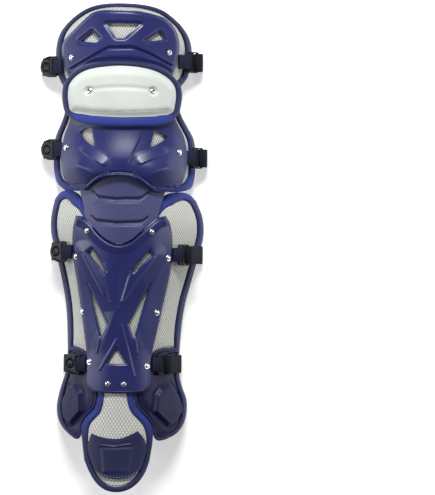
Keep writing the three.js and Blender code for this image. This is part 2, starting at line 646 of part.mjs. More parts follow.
// Toe cap on the toe pad, with a raised middle
const capSides = outline({
  bottom: [[-0.62, 0.42], [-0.5, 0.33], [-0.3, 0.275], [0.07, 0.25], [0.4, 0.29], [0.58, 0.35],
    [0.7, 0.44]],
  right: [[0.7, 0.44], [0.8, 0.66], [0.845, 0.8], [0.8, 0.95], [0.72, 1.04], [0.59, 1.13]],
  top: [[-0.72, 1.07], [-0.5, 1.02], [-0.2, 0.99], [0.08, 0.99], [0.35, 1.05], [0.59, 1.13]],
  left: [[-0.62, 0.42], [-0.7, 0.58], [-0.78, 0.74], [-0.79, 0.88], [-0.72, 1.07]]
}, TOE_HALF, toeTip, TOE_REACH, 8, 6);
const capOver = (x, y, s, t) => GAP + CAP_WALL + CAP_RISE * fullness(s, t);
add('toe_cap', sheet(capSides, capOver, () => GAP, CAP_WALL), 'navyPlate');

// Rivets: domed heads on the plates and on the padded bar
function rivet(name, x, y, over, level, radius) {
  const offset = over(x, y) + RIVET_GAP;
  const here = bend(x, y, offset, level);
  const right = bend(x + 1, y, over(x + 1, y) + RIVET_GAP, level).sub(here);
  const ahead = bend(x, y + 1, over(x, y + 1) + RIVET_GAP, level).sub(here);
  const normal = right.cross(ahead).normalize();
  const profile = [[0, 0], [1, 0], [0.75, 0.45], [0, 0.6]].map(([r, h]) => {
    return new THREE.Vector2(r * radius, h * radius);
  });
  const head = add(name, new THREE.LatheGeometry(profile, 8), 'chrome');
  head.position.copy(here);
  head.quaternion.setFromUnitVectors(new THREE.Vector3(0, 1, 0), normal);
}
const rivetPlaces = {
  thigh_shell: { rivet_thigh_left: [-0.74, 0.4], rivet_thigh_right: [0.66, 0.47] },
  knee_shell: { rivet_knee_left: [-0.89, 0.55], rivet_knee_right: [0.92, 0.51] },
  shin_shell: {
    rivet_shin_top_left: [-0.65, 0.76], rivet_shin_top_right: [0.62, 0.76],
    rivet_shin_upper_left: [-0.87, 0.6], rivet_shin_upper_right: [0.96, 0.6],
    rivet_shin_middle_left: [-0.73, 0.26], rivet_shin_middle_right: [0.75, 0.26],
    rivet_shin_lower_left: [-0.57, -0.05], rivet_shin_lower_right: [0.57, -0.07],
    rivet_shin_foot_left: [-0.2, -0.185], rivet_shin_foot_right: [0.12, -0.185]
  }
};
Object.entries(rivetPlaces).forEach(([plateName, places]) => {
  const plate = plates[plateName];
  Object.entries(places).forEach(([name, [across, along]]) => {
    const y = plate.foot + along * plate.length;
    rivet(name, across * plate.half, y, plate.over, SHELL_WALL, RIVET_RADIUS);
  });
});
const flapRivets = { rivet_flap_left: [-0.54, 0.53], rivet_flap_right: [0.5, 0.54] };
const flapTopFace = () => flapLevel + FLAP_THICK - EDGE_THICK;
Object.entries(flapRivets).forEach(([name, [across, along]]) => {
  const y = flapFoot + along * FLAP_LENGTH;
  rivet(name, across * FLAP_HALF, y, flapTopFace, flapLevel, BAR_RIVET_RADIUS);
});

// Straps and fittings: a row for each strap, with its line across the guard on each side,
// the pads whose edges it passes, how far each bar stands outside the plate's edge and how
// many degrees each fitting tips down
const strapRows = [
  {
    label: 'thigh', plate: thighPlate, leftPad: thighSides, rightPad: thighSides,
    left: thighFoot + 0.31 * THIGH_LENGTH, right: thighFoot + 0.38 * THIGH_LENGTH,
    leftReach: 4.5, rightReach: 9, leftTip: 34, rightTip: 36
  },
  {
    label: 'knee', plate: kneePlate, leftPad: kneeSides, rightPad: kneeSides,
    left: kneeFoot + 0.44 * KNEE_LENGTH, right: kneeFoot + 0.37 * KNEE_LENGTH,
    leftReach: 5, rightReach: 5.5, leftTip: 36, rightTip: 38
  },
  {
    label: 'shin', plate: shinPlate, leftPad: shinSides, rightPad: shinSides,
    left: shinFoot + 0.63 * SHIN_LENGTH, right: shinFoot + 0.62 * SHIN_LENGTH,
    leftReach: 5.5, rightReach: 5.5, leftTip: 38, rightTip: 38
  },
  {
    label: 'ankle', plate: shinPlate, leftPad: ankleLeft, rightPad: ankleRight,
    left: ankleFoot + 0.87 * ANKLE_LENGTH, right: ankleFoot + 0.88 * ANKLE_LENGTH,
    leftReach: 5.5, rightReach: 6, leftTip: 36, rightTip: 38
  }
];
const foldRadius = Math.hypot(BAR / 2, RING_THICK / 2) + 2 * GAP + WEB_THICK / 2;
const fitHalf = RING_WIDTH / 2;
const FOLD_STEPS = 6;

// The farthest that an edge reaches out over a stretch along the guard
function edgeReach(points, side, y, half) {
  const reach = points.filter((point) => Math.abs(point.y - y) <= half).map((point) => point.x * side);
  [y - half, y, y + half].forEach((line) => {
    const after = points.findIndex((point) => point.y > line);
    if (after <= 0) return;
    const [a, b] = [points[after - 1], points[after]];
    reach.push(side * (a.x + (b.x - a.x) * (line - a.y) / (b.y - a.y)));
  });
  return Math.max(...reach);
}

// The highest that the form stands at an offset over x, along a fitting's width
const surface = (x, y, offset) => {
  return Math.max(...[-fitHalf, 0, fitHalf].map((step) => bend(x, y + step, offset).z));
};

// A web of one thickness along a path seen from the guard's end, as wide as asked
function web(path, width, y) {
  const half = WEB_THICK / 2;
  const edge = (sign) => path.map((point, index) => {
    const before = path[Math.max(index - 1, 0)];
    const after = path[Math.min(index + 1, path.length - 1)];
    const into = point.clone().sub(before).normalize();
    const out = after.clone().sub(point).normalize();
    const lean = into.clone().add(out).normalize();
    const other = out.lengthSq() > 0 ? out : into;
    const reach = half / Math.max(0.45, lean.dot(other));
    return new THREE.Vector2(point.x - sign * lean.y * reach, point.y + sign * lean.x * reach);
  });
  const shape = new THREE.Shape([...edge(1), ...edge(-1).reverse()]);
  const geometry = new THREE.ExtrudeGeometry(shape, { depth: width, bevelEnabled: false });
  geometry.rotateX(Math.PI / 2);
  geometry.translate(0, y + width / 2, 0);
  return geometry;
}

// Where a fitting sits: its bar's middle, the form's directions there, and its own tilt
function seat(row, side) {
  const label = side < 0 ? 'left' : 'right';
  const y = row[label];
  const plateEdge = edgeReach(row.plate[label], side, y, fitHalf);
  const barX = side * (plateEdge + row[`${label}Reach`]);
  const skin = bend(barX, y, 0);
  const normal = bend(barX, y, 1, 0).sub(skin);
  const up = new THREE.Vector2(normal.x, normal.z);
  const out = new THREE.Vector2(side * up.y, -side * up.x);
  const centre = new THREE.Vector2(barX, surface(barX, y, 0));
  centre.addScaledVector(up, GAP + WEB_THICK / 2 + foldRadius);
  const tip = THREE.MathUtils.degToRad(row[`${label}Tip`]);
  const along = new THREE.Vector2(side * Math.cos(tip), -Math.sin(tip));
  const rise = new THREE.Vector2(side * Math.sin(tip), Math.cos(tip));
  const at = (u, v) => centre.clone().addScaledVector(along, u).addScaledVector(rise, v);
  return { label, side, y, plateEdge, barX, up, out, centre, along, rise, at };
}

// Half a turn of a web round a bar, from one direction out of the bar through another
function fold(centre, from, towards) {
  const points = [];
  for (let step = 0; step <= FOLD_STEPS; step += 1) {
    const angle = Math.PI * step / FOLD_STEPS;
    const point = centre.clone().addScaledVector(from, foldRadius * Math.cos(angle));
    points.push(point.addScaledVector(towards, foldRadius * Math.sin(angle)));
  }
  return points;
}

// A tab lies on the pad outside the plate, folds round the bar and comes back over itself
function tab(row, place) {
  const { side, y, up, out, centre, plateEdge, barX } = place;
  const inner = side * (plateEdge + 2 * GAP);
  const lower = [0, 0.5].map((share) => {
    const x = inner + share * (barX - inner);
    return new THREE.Vector2(x, surface(x, y, GAP + WEB_THICK / 2));
  });
  const turn = fold(centre, up.clone().negate(), out);
  const backX = inner + side * 1.2;
  const back = new THREE.Vector2(backX, surface(backX, y, 2 * GAP + WEB_THICK * 1.7));
  add(`tab_${row.label}_${place.label}`, web([...lower, ...turn, back], TAB_WIDTH, y), 'webbing');
}

function putAt(mesh, place) {
  const lengthwise = new THREE.Vector3(place.along.x, 0, place.along.y);
  const crosswise = new THREE.Vector3(0, place.side, 0);
  const upward = new THREE.Vector3(place.rise.x, 0, place.rise.y);
  mesh.quaternion.setFromRotationMatrix(new THREE.Matrix4().makeBasis(lengthwise, crosswise, upward));
  mesh.position.set(place.centre.x, place.y, place.centre.y);
}

const slotHalf = TAB_WIDTH / 2 + 0.8;
const slotEnd = foldRadius + WEB_THICK / 2 + GAP * 3;

function rectangleHole(from, to, half) {
  const corners = [[from, -half], [from, half], [to, half], [to, -half]];
  return new THREE.Path(corners.map(([u, v]) => new THREE.Vector2(u, v)));
}

// Left side: a ring with a webbing slot and a round eye, and a hook with its stud in the eye
const ringEnd = RING_LENGTH - BAR / 2;
const ringCurve = RING_LENGTH * 0.38;
const eyeAt = ringEnd - EYE_RADIUS - RING_RIM;
const ringShape = new THREE.Shape();
ringShape.moveTo(-BAR / 2, -fitHalf + 3);
ringShape.lineTo(BAR / 2, -fitHalf);
ringShape.absellipse(ringCurve, 0, ringEnd - ringCurve, fitHalf, -Math.PI / 2, Math.PI / 2, false, 0);
ringShape.lineTo(BAR / 2, fitHalf);
ringShape.lineTo(-BAR / 2, fitHalf - 3);
ringShape.holes.push(rectangleHole(BAR / 2, slotEnd, slotHalf));
const eyePath = new THREE.Path();
eyePath.absarc(eyeAt, 0, EYE_RADIUS, 0, 2 * Math.PI, true);
ringShape.holes.push(eyePath);

function ring(row, place) {
  const depth = { depth: RING_THICK, bevelEnabled: false, curveSegments: 6 };
  const geometry = new THREE.ExtrudeGeometry(ringShape, depth);
  geometry.translate(0, 0, -RING_THICK / 2);
  putAt(add(`ring_${row.label}`, geometry, 'blackPlastic'), place);
}

// The hook is a plate under the ring, with a stud that stands up through the eye
const hookTop = -RING_THICK / 2 - GAP;
const studRadius = EYE_RADIUS * 0.88;
const hookShape = new THREE.Shape();
hookShape.absellipse(eyeAt, 0, EYE_RADIUS + 2.6, EYE_RADIUS + 3.4, 0, 2 * Math.PI, false, 0);
function hook(row, place) {
  const depth = { depth: HOOK_THICK, bevelEnabled: false, curveSegments: 6 };
  const plate = new THREE.ExtrudeGeometry(hookShape, depth);
  plate.translate(0, 0, hookTop - HOOK_THICK);
  const studLength = RING_THICK + GAP + 1;
  const stud = new THREE.CylinderGeometry(studRadius, studRadius, studLength + 1, 12);
  stud.rotateX(Math.PI / 2);
  stud.translate(eyeAt, 0, hookTop + (studLength - 1) / 2);
  const joined = toManifold(merged(plate)).add(toManifold(merged(stud)));
  putAt(add(`hook_${row.label}`, fromManifold(joined), 'blackPlastic'), place);
}

// Right side: a slide with one slot for the tab and one for the strap
const slideBar = slotEnd + BAR;
const slideEnd = slideBar + SLIDE_SLOT + BAR;
const SLIDE_CORNER = 1.5;
function slide(row, place) {
  const start = -BAR / 2;
  const shape = new THREE.Shape([
    [start, -fitHalf + SLIDE_CORNER], [start + SLIDE_CORNER, -fitHalf],
    [slideEnd - SLIDE_CORNER, -fitHalf], [slideEnd, -fitHalf + SLIDE_CORNER],
    [slideEnd, fitHalf - SLIDE_CORNER], [slideEnd - SLIDE_CORNER, fitHalf],
    [start + SLIDE_CORNER, fitHalf], [start, fitHalf - SLIDE_CORNER]
  ].map(([u, v]) => new THREE.Vector2(u, v)));
  shape.holes.push(rectangleHole(BAR / 2, slotEnd, slotHalf));
  shape.holes.push(rectangleHole(slideBar, slideBar + SLIDE_SLOT, STRAP_WIDTH / 2 + 0.6));
  const geometry = new THREE.ExtrudeGeometry(shape, { depth: RING_THICK, bevelEnabled: false });
  geometry.translate(0, 0, -RING_THICK / 2);
  putAt(add(`slide_${row.label}`, geometry, 'blackPlastic'), place);
}

// A strap runs whole from its fold in the slide, round the outer edge, flat under the open
// back, round the inner edge and up against the underside of its hook. Its two ends lie
// on their own lines, so its flat run is a little askew.
const STRAP_TURN = 2.4;
function strap(row, leftPlace, rightPlace) {
  const halfSpan = STRAP_WIDTH / 2;
  const floor = WEB_THICK / 2;
  const foldAt = slideEnd - BAR / 2;
  const bar = rightPlace.at(foldAt, 0);
  const turn = fold(bar, rightPlace.rise.clone().negate(), rightPlace.along.clone().negate());
  const over = rightPlace.at(foldAt + foldRadius, foldRadius * 0.8);
  const rightEdge = edgeReach(row.rightPad.right, 1, row.right, halfSpan) + TURN_ROOM;
  const wing = [];
  for (let x = over.x + 4; x < rightEdge - 5; x += 6) {
    wing.push(new THREE.Vector2(x, surface(x, row.right, GAP + WEB_THICK)));
  }
  const rightTurn = Math.max(rightEdge, over.x + 1.6);
  const rightDrop = Math.min((wing.at(-1) ?? over).y - 4, bend(rightEdge - TURN_ROOM, row.right, 0).z + 3);
  const hookV = hookTop - HOOK_THICK - GAP - WEB_THICK / 2;
  const hookInner = leftPlace.at(eyeAt - EYE_RADIUS, hookV);
  const hookOuter = leftPlace.at(eyeAt + EYE_RADIUS + 1.5, hookV);
  const leftEdge = edgeReach(row.leftPad.left, -1, row.left, halfSpan) + TURN_ROOM;
  const leftTurn = Math.max(leftEdge, -hookOuter.x + STRAP_TURN);
  const leftDrop = Math.min(hookOuter.y - STRAP_TURN, bend(-leftEdge + TURN_ROOM, row.left, 0).z + 3);
  const path = [
    ...turn,
    over,
    ...wing,
    new THREE.Vector2(rightTurn, rightDrop),
    new THREE.Vector2(rightTurn, floor + STRAP_TURN),
    new THREE.Vector2(rightTurn - STRAP_TURN, floor),
    new THREE.Vector2(-leftTurn + STRAP_TURN, floor),
    new THREE.Vector2(-leftTurn, floor + STRAP_TURN),
    ...(leftDrop > floor + STRAP_TURN + 1 ? [new THREE.Vector2(-leftTurn, leftDrop)] : []),
    hookOuter,
    hookInner
  ];
  const geometry = web(path, STRAP_WIDTH, 0);
  const position = geometry.getAttribute('position');
  for (let index = 0; index < position.count; index += 1) {
    const line = position.getX(index) > 0 ? row.right : row.left;
    position.setY(index, position.getY(index) + line);
  }
  add(`strap_${row.label}`, geometry, 'elastic');
}

strapRows.forEach((row) => {
  const leftPlace = seat(row, -1);
  const rightPlace = seat(row, 1);
  tab(row, leftPlace);
  tab(row, rightPlace);
  ring(row, leftPlace);
  hook(row, leftPlace);
  slide(row, rightPlace);
  strap(row, leftPlace, rightPlace);
});

// The origin is under the middle of the whole guard
const bounds = new THREE.Box3().setFromObject(group);
const middle = bounds.getCenter(new THREE.Vector3());
group.position.set(-middle.x, -middle.y, -bounds.min.z);
group.updateMatrixWorld(true);

export default group;
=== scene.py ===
import math
import bmesh
import bpy
import numpy as np
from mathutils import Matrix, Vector
from mathutils.bvhtree import BVHTree


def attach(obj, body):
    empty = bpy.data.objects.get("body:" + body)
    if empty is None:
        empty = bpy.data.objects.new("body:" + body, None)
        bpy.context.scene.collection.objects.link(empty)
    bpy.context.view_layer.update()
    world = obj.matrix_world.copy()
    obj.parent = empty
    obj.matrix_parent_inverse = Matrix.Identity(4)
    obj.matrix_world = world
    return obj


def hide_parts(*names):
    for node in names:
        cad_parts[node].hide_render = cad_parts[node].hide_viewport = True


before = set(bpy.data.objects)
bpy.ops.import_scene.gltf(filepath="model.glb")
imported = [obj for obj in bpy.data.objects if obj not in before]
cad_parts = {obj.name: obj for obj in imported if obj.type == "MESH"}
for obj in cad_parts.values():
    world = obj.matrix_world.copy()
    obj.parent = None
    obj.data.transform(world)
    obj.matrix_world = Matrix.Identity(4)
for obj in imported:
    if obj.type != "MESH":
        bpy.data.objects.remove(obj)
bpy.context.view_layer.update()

MM = 0.001

# Camera, floor and lights. The camera looks straight down on the guard, which fills the left
# half of the picture as in the photograph, through a long lens. The floor is plain white. The
# light is a soft box beyond the thigh end, a weaker one on each side and a dim white room.
PICTURE_LENGTH = 0.6336
VIEW_DISTANCE = 5.0
VIEW_CENTRE = (0.1236, 0.0020, 0.045)
VIEW_ROLL = math.atan(0.0157)
SENSOR_WIDTH = 36
FLOOR_HALF, FLOOR_LEVEL = 6, -0.0003
ROOM_STRENGTH, FLOOR_GLOW = 0.12, 0.38


def in_scene(name, data):
    thing = bpy.data.objects.new(name, data)
    bpy.context.scene.collection.objects.link(thing)
    return thing


def soft_box(name, place, aim, width, height, power):
    """A rectangular light that faces a point."""
    data = bpy.data.lights.new(name, "AREA")
    data.shape = "RECTANGLE"
    data.size = width
    data.size_y = height
    data.energy = power
    box = in_scene(name, data)
    box.location = place
    box.rotation_euler = (Vector(aim) - Vector(place)).to_track_quat("-Z", "Y").to_euler()


camera_data = bpy.data.cameras.new("camera")
camera_data.sensor_width = SENSOR_WIDTH
camera_data.lens = SENSOR_WIDTH * VIEW_DISTANCE / PICTURE_LENGTH
camera_data.clip_end = 30
camera = in_scene("camera", camera_data)
camera.location = (VIEW_CENTRE[0], VIEW_CENTRE[1], VIEW_CENTRE[2] + VIEW_DISTANCE)
camera.rotation_euler = (0, 0, VIEW_ROLL)
bpy.context.scene.camera = camera
bpy.context.scene.view_settings.view_transform = "Standard"
soft_box("light_over_thigh", (0.0, 1.5, 1.35), (0, 0.0, 0.03), 0.95, 0.4, 41)
soft_box("light_left", (-1.5, 0.1, 0.8), (0, 0, 0.05), 0.35, 1.5, 12)
soft_box("light_right", (1.5, 0.0, 0.8), (0, 0, 0.05), 0.35, 1.5, 7)
room = bpy.data.worlds.new("white_room")
room.use_nodes = True
room_light = room.node_tree.nodes["Background"]
room_light.inputs["Color"].default_value = (1, 1, 1, 1)
room_light.inputs["Strength"].default_value = ROOM_STRENGTH
bpy.context.scene.world = room

floor_corners = [(x * FLOOR_HALF, y * FLOOR_HALF, FLOOR_LEVEL)
                 for x, y in ((-1, -1), (1, -1), (1, 1), (-1, 1))]
floor_mesh = bpy.data.meshes.new("floor")
floor_mesh.from_pydata(floor_corners, [], [(0, 1, 2, 3)])
floor = in_scene("floor", floor_mesh)
floor_paint = bpy.data.materials.new("floor_white")
floor_paint.use_nodes = True
floor_shader = floor_paint.node_tree.nodes["Principled BSDF"]
floor_shader.inputs["Base Color"].default_value = (0.95, 0.95, 0.95, 1)
floor_shader.inputs["Roughness"].default_value = 0.9
floor_shader.inputs["Specular IOR Level"].default_value = 0.1
floor_shader.inputs["Emission Color"].default_value = (1, 1, 1, 1)
floor_shader.inputs["Emission Strength"].default_value = FLOOR_GLOW
floor_mesh.materials.append(floor_paint)

# The thigh pad: a foam panel in knitted mesh, sewn into a binding tape round its edge. Like
# every pad and plate it is bent over the leg's arched form, so the form comes with it: a row
# of sections along the guard, as in the solids, between which every size runs smoothly.
THIGH_HALF, THIGH_LENGTH = 87, 117
KNEE_HALF, KNEE_LENGTH = 90, 116
SHIN_HALF, SHIN_LENGTH = 98, 206
ANKLE_HALF, ANKLE_LENGTH = 83, 107
TOE_HALF, TOE_REACH, TONGUE_TUCK = 45, 69, 34
ARCH_HEIGHT = 66
PAD_THICK, EDGE_THICK, GAP = 10, 7, 0.3
KNEE_FOOT = 1.8
THIGH_FOOT = KNEE_FOOT + KNEE_LENGTH + 5.5
SHIN_FOOT = -KNEE_FOOT - SHIN_LENGTH
ANKLE_FOOT = SHIN_FOOT - ANKLE_LENGTH
TOE_TIP = ANKLE_FOOT - TOE_REACH
FORM_ZERO = (-0.836, 71.736)
# along, across, then shift and half as shares of across, rise and crown of the arch's height
FORM = np.array([
    (along, shift * across, half * across, rise * ARCH_HEIGHT, crown * ARCH_HEIGHT)
    for along, across, shift, half, rise, crown in (
        (TOE_TIP, TOE_HALF, 0, 1.69, 0.91, 1.045),
        (TOE_TIP + 0.5 * TOE_REACH, TOE_HALF, 0, 1.78, 1.0, 0.955),
        (ANKLE_FOOT, ANKLE_HALF, 0.04, 1.13, 1.39, 0.925),
        (ANKLE_FOOT + 0.38 * ANKLE_LENGTH, ANKLE_HALF, 0.057, 1.115, 1.515, 0.93),
        (ANKLE_FOOT + 0.87 * ANKLE_LENGTH, ANKLE_HALF, 0.057, 0.975, 1.545, 0.945),
        (SHIN_FOOT + 0.04 * SHIN_LENGTH, SHIN_HALF, 0.055, 0.82, 1.545, 0.945),
        (SHIN_FOOT + 0.33 * SHIN_LENGTH, SHIN_HALF, 0.079, 0.89, 1.6, 1.0),
        (SHIN_FOOT + 0.78 * SHIN_LENGTH, SHIN_HALF, 0.077, 1.12, 1.79, 1.085),
        (0, KNEE_HALF, 0.05, 1.13, 1.73, 1.06),
        (KNEE_FOOT + 0.44 * KNEE_LENGTH, KNEE_HALF, 0.03, 1.12, 1.79, 1.115),
        (KNEE_FOOT + KNEE_LENGTH, KNEE_HALF, -0.017, 1.07, 1.67, 1.07),
        (THIGH_FOOT + 0.44 * THIGH_LENGTH, THIGH_HALF, -0.006, 1.12, 1.62, 1.0),
        (THIGH_FOOT + THIGH_LENGTH, THIGH_HALF, -0.01, 1.13, 1.58, 0.92),
    )
])


def form_at(y):
    stations = FORM[:, 0]
    low = np.clip(np.searchsorted(stations, y) - 1, 0, len(stations) - 2)
    span = stations[low + 1] - stations[low]
    t = np.clip((y - stations[low]) / span, 0, 1)
    last = len(stations) - 1
    before, after = np.maximum(np.arange(last + 1) - 1, 0), np.minimum(np.arange(last + 1) + 1, last)
    out = []
    for size in FORM.T[1:]:
        slope = (size[after] - size[before]) / (stations[after] - stations[before])
        out.append((2 * t**3 - 3 * t**2 + 1) * size[low] + (t**3 - 2 * t**2 + t) * span * slope[low]
                   + (3 * t**2 - 2 * t**3) * size[low + 1] + (t**3 - t**2) * span * slope[low + 1])
    return out


def bend(x, y, offset, level=0.0):
    """Places in the row frame, at an offset over the pads' outer face."""
    x, y, offset, level = (np.asarray(v, float) for v in np.broadcast_arrays(x, y, offset, level))
    shift, half, rise, crown = form_at(y)
    sine = np.clip((x - shift) / (half + level), -0.98, 0.98)
    across = shift + (half + offset) * sine + FORM_ZERO[0]
    height = crown - rise + (rise + offset) * np.sqrt(1 - sine**2)
    return np.stack([across, y + FORM_ZERO[1], height], axis=-1) * MM


def unbend(places):
    """The other way: a place's x and y on the form and its offset."""
    x, y, z = places[..., 0] / MM - FORM_ZERO[0], places[..., 1] / MM - FORM_ZERO[1], places[..., 2] / MM
    shift, half, rise, crown = form_at(y)
    low, high = np.full(x.shape, -35.0), np.full(x.shape, 45.0)
    for halving in range(26):
        middle = (low + high) / 2
        outside = ((x - shift) / (half + middle))**2 + ((z - crown + rise) / (rise + middle))**2 > 1
        low, high = np.where(outside, middle, low), np.where(outside, high, middle)
    return shift + half * (x - shift) / (half + low), y, low


def along_form(x, y):
    """How far a place is across the form, measured on its surface."""
    shift, half, rise, crown = form_at(y)
    return half * np.arcsin(np.clip((x - shift) / half, -0.99, 0.99))


def run(points, count):
    """A smooth curve through points, cut into equal lengths."""
    p = np.asarray(points, float)
    last = len(p) - 1
    t = np.linspace(0, last, last * 40 + 1)
    i = np.minimum(t.astype(int), last - 1)
    u = (t - i)[:, None]
    p0, p1, p2, p3 = p[np.maximum(i - 1, 0)], p[i], p[i + 1], p[np.minimum(i + 2, last)]
    v0, v1 = (p2 - p0) / 2, (p3 - p1) / 2
    curve = (2 * p1 - 2 * p2 + v0 + v1) * u**3 + (3 * p2 - 3 * p1 - 2 * v0 - v1) * u**2 + v0 * u + p1
    length = np.concatenate([[0], np.cumsum(np.linalg.norm(np.diff(curve, axis=0), axis=1))])
    at = np.linspace(0, length[-1], count + 1)
    return np.stack([np.interp(at, length, curve[:, k]) for k in range(p.shape[1])], axis=1)


def sized(table, half, foot, length):
    """Places in mm from shares of a half width and of a length."""
    return [(a * half, foot + b * length) for a, b in table]


def outline(bottom, right, top, left, half, foot, length, columns, rows):
    """Four sides from tables of shares of a half width and a length."""
    sides = {"bottom": (bottom, columns), "top": (top, columns),
             "left": (left, rows), "right": (right, rows)}
    return {name: run(sized(table, half, foot, length), count)
            for name, (table, count) in sides.items()}


def loop_of(sides):
    """The four sides as one closed outline."""
    return np.concatenate([sides["bottom"][:-1], sides["right"][:-1],
                           sides["top"][:0:-1], sides["left"][:0:-1]])


def inset(sides, width, more=0.0):
    """The outline moved inwards by a width seen from above, which may depend on the place."""
    loop = loop_of(sides)
    if callable(width):
        width = width(loop[:, 0], loop[:, 1])
    width = width + more
    into = loop - np.roll(loop, 1, axis=0)
    out = np.roll(loop, -1, axis=0) - loop
    into /= np.linalg.norm(into, axis=1)[:, None]
    out /= np.linalg.norm(out, axis=1)[:, None]
    lean = into + out
    lean /= np.linalg.norm(lean, axis=1)[:, None]
    reach = width / np.maximum(0.92, (lean * out).sum(axis=1))
    moved = loop + np.stack([-lean[:, 1], lean[:, 0]], axis=1) * reach[:, None]
    ring = np.concatenate([moved, moved[:1]])
    c, r = len(sides["bottom"]) - 1, len(sides["left"]) - 1
    return {"bottom": ring[:c + 1], "right": ring[c:c + r + 1], "top": ring[c + r:2 * c + r + 1][::-1],
            "left": ring[2 * c + r:2 * c + 2 * r + 1][::-1]}


def finer(sides, columns, rows):
    return {name: run(side, columns if name in ("bottom", "top") else rows) for name, side in sides.items()}


def grid_in(sides, columns, rows):
    """A grid of places that fills an outline from side to side."""
    sides = finer(sides, columns, rows)
    s = np.linspace(0, 1, columns + 1)[None, :, None]
    t = np.linspace(0, 1, rows + 1)[:, None, None]
    bottom, top = sides["bottom"], sides["top"]
    corners = (1 - t) * ((1 - s) * bottom[0] + s * bottom[-1]) + t * ((1 - s) * top[0] + s * top[-1])
    return ((1 - t) * bottom[None] + t * top[None] + (1 - s) * sides["left"][:, None]
            + s * sides["right"][:, None] - corners)


def places_of(piece):
    """The places of a piece's vertices, one in a row."""
    places = np.empty(len(piece.data.vertices) * 3)
    piece.data.vertices.foreach_get("co", places)
    return places.reshape(-1, 3)


def lay_weave(piece):
    """A UV map in metres on the form's surface, for weaves that follow it."""
    mesh = piece.data
    x, y = unbend(places_of(piece))[:2]
    corner = np.empty(len(mesh.loops), int)
    mesh.loops.foreach_get("vertex_index", corner)
    weave = mesh.uv_layers.get("weave") or mesh.uv_layers.new(name="weave")
    weave.data.foreach_set("uv", (np.stack([along_form(x, y), y], axis=1)[corner] * MM).ravel())


def shade(mesh, sharp=None):
    """Smooth shading, broken at edges sharper than an angle if one is given."""
    mesh.polygons.foreach_set("use_smooth", [True] * len(mesh.polygons))
    if sharp:
        mesh.set_sharp_from_angle(angle=math.radians(sharp))


def new_piece(name, points, faces, sharp=None):
    mesh = bpy.data.meshes.new(name)
    mesh.from_pydata([tuple(p) for p in points], [], [tuple(int(i) for i in f) for f in faces])
    mesh.validate()
    shade(mesh, sharp)
    return in_scene(name, mesh)


def closed_sheet(name, over, under, gone=None, sharp=None):
    """A wall between two faces given as grids of places, open where squares are gone."""
    rows, columns = over.shape[0] - 1, over.shape[1] - 1
    index = np.arange((rows + 1) * (columns + 1)).reshape(rows + 1, columns + 1)
    kept = np.ones((rows, columns), bool) if gone is None else ~gone
    a, b, c, d = (part[kept] for part in (index[:-1, :-1], index[:-1, 1:], index[1:, 1:], index[1:, :-1]))
    edges = np.concatenate([np.stack(pair, 1) for pair in ((a, b), (b, c), (c, d), (d, a))])
    code = edges[:, 0] * index.size + edges[:, 1]
    back = edges[:, 1] * index.size + edges[:, 0]
    rim = edges[~np.isin(code, back)]
    below = index.size
    faces = np.concatenate([
        np.stack([a, b, c, d], 1),
        np.stack([a, d, c, b], 1) + below,
        np.stack([rim[:, 0], rim[:, 0] + below, rim[:, 1] + below, rim[:, 1]], 1),
    ])
    used, renumbered = np.unique(faces, return_inverse=True)
    points = np.concatenate([over.reshape(-1, 3), under.reshape(-1, 3)])[used]
    return new_piece(name, points, renumbered.reshape(faces.shape), sharp)


def finish_modifiers(piece):
    """The piece's modifiers turned into plain mesh."""
    evaluated = piece.evaluated_get(bpy.context.evaluated_depsgraph_get())
    mesh = bpy.data.meshes.new_from_object(evaluated)
    piece.modifiers.clear()
    old, piece.data = piece.data, mesh
    bpy.data.meshes.remove(old)


def smoothly(low, high, value):
    t = np.clip((value - low) / (high - low), 0, 1)
    return t * t * (3 - 2 * t)


def from_edge(grid, loop):
    """How far each place of a grid is from an outline."""
    a = loop
    ab = np.roll(loop, -1, axis=0) - a
    gap = np.full(grid.shape[:-1], 1e9)
    for start, along in zip(a, ab):
        t = np.clip(((grid - start) @ along) / max(along @ along, 1e-9), 0, 1)
        gap = np.minimum(gap, np.linalg.norm(grid - start - t[..., None] * along, axis=-1))
    return gap


PUFF_FRAMES = 20
HELD_WIDTH, SLOPE_WIDTH = 0.6, 16
OVER_DROP, UNDER_DROP = 1.2, EDGE_THICK + 1


def under_face(x, y, full):
    """A pad's inner face, from its bound edge to its full thickness."""
    return bend(x, y, -UNDER_DROP - (PAD_THICK - UNDER_DROP) * full)


def blow_up(piece, edge):
    """A cloth simulation with pressure inside, held where the cloth is bound."""
    held = piece.vertex_groups.new(name="bound_edge")
    for index in edge:
        held.add([int(index)], 1.0, "REPLACE")
    cloth = piece.modifiers.new("puff", "CLOTH")
    cloth.settings.quality = 6
    cloth.settings.vertex_group_mass = "bound_edge"
    cloth.settings.use_pressure = True
    cloth.settings.uniform_pressure_force = 4
    cloth.settings.tension_stiffness = 25
    cloth.settings.compression_stiffness = 25
    cloth.settings.bending_stiffness = 1.5
    cloth.settings.effector_weights.gravity = 0
    cloth.point_cache.frame_start = 1
    cloth.point_cache.frame_end = PUFF_FRAMES
    for step in range(1, PUFF_FRAMES + 1):
        bpy.context.scene.frame_set(step)
    finish_modifiers(piece)
    bpy.context.scene.frame_set(1)
    piece.vertex_groups.clear()


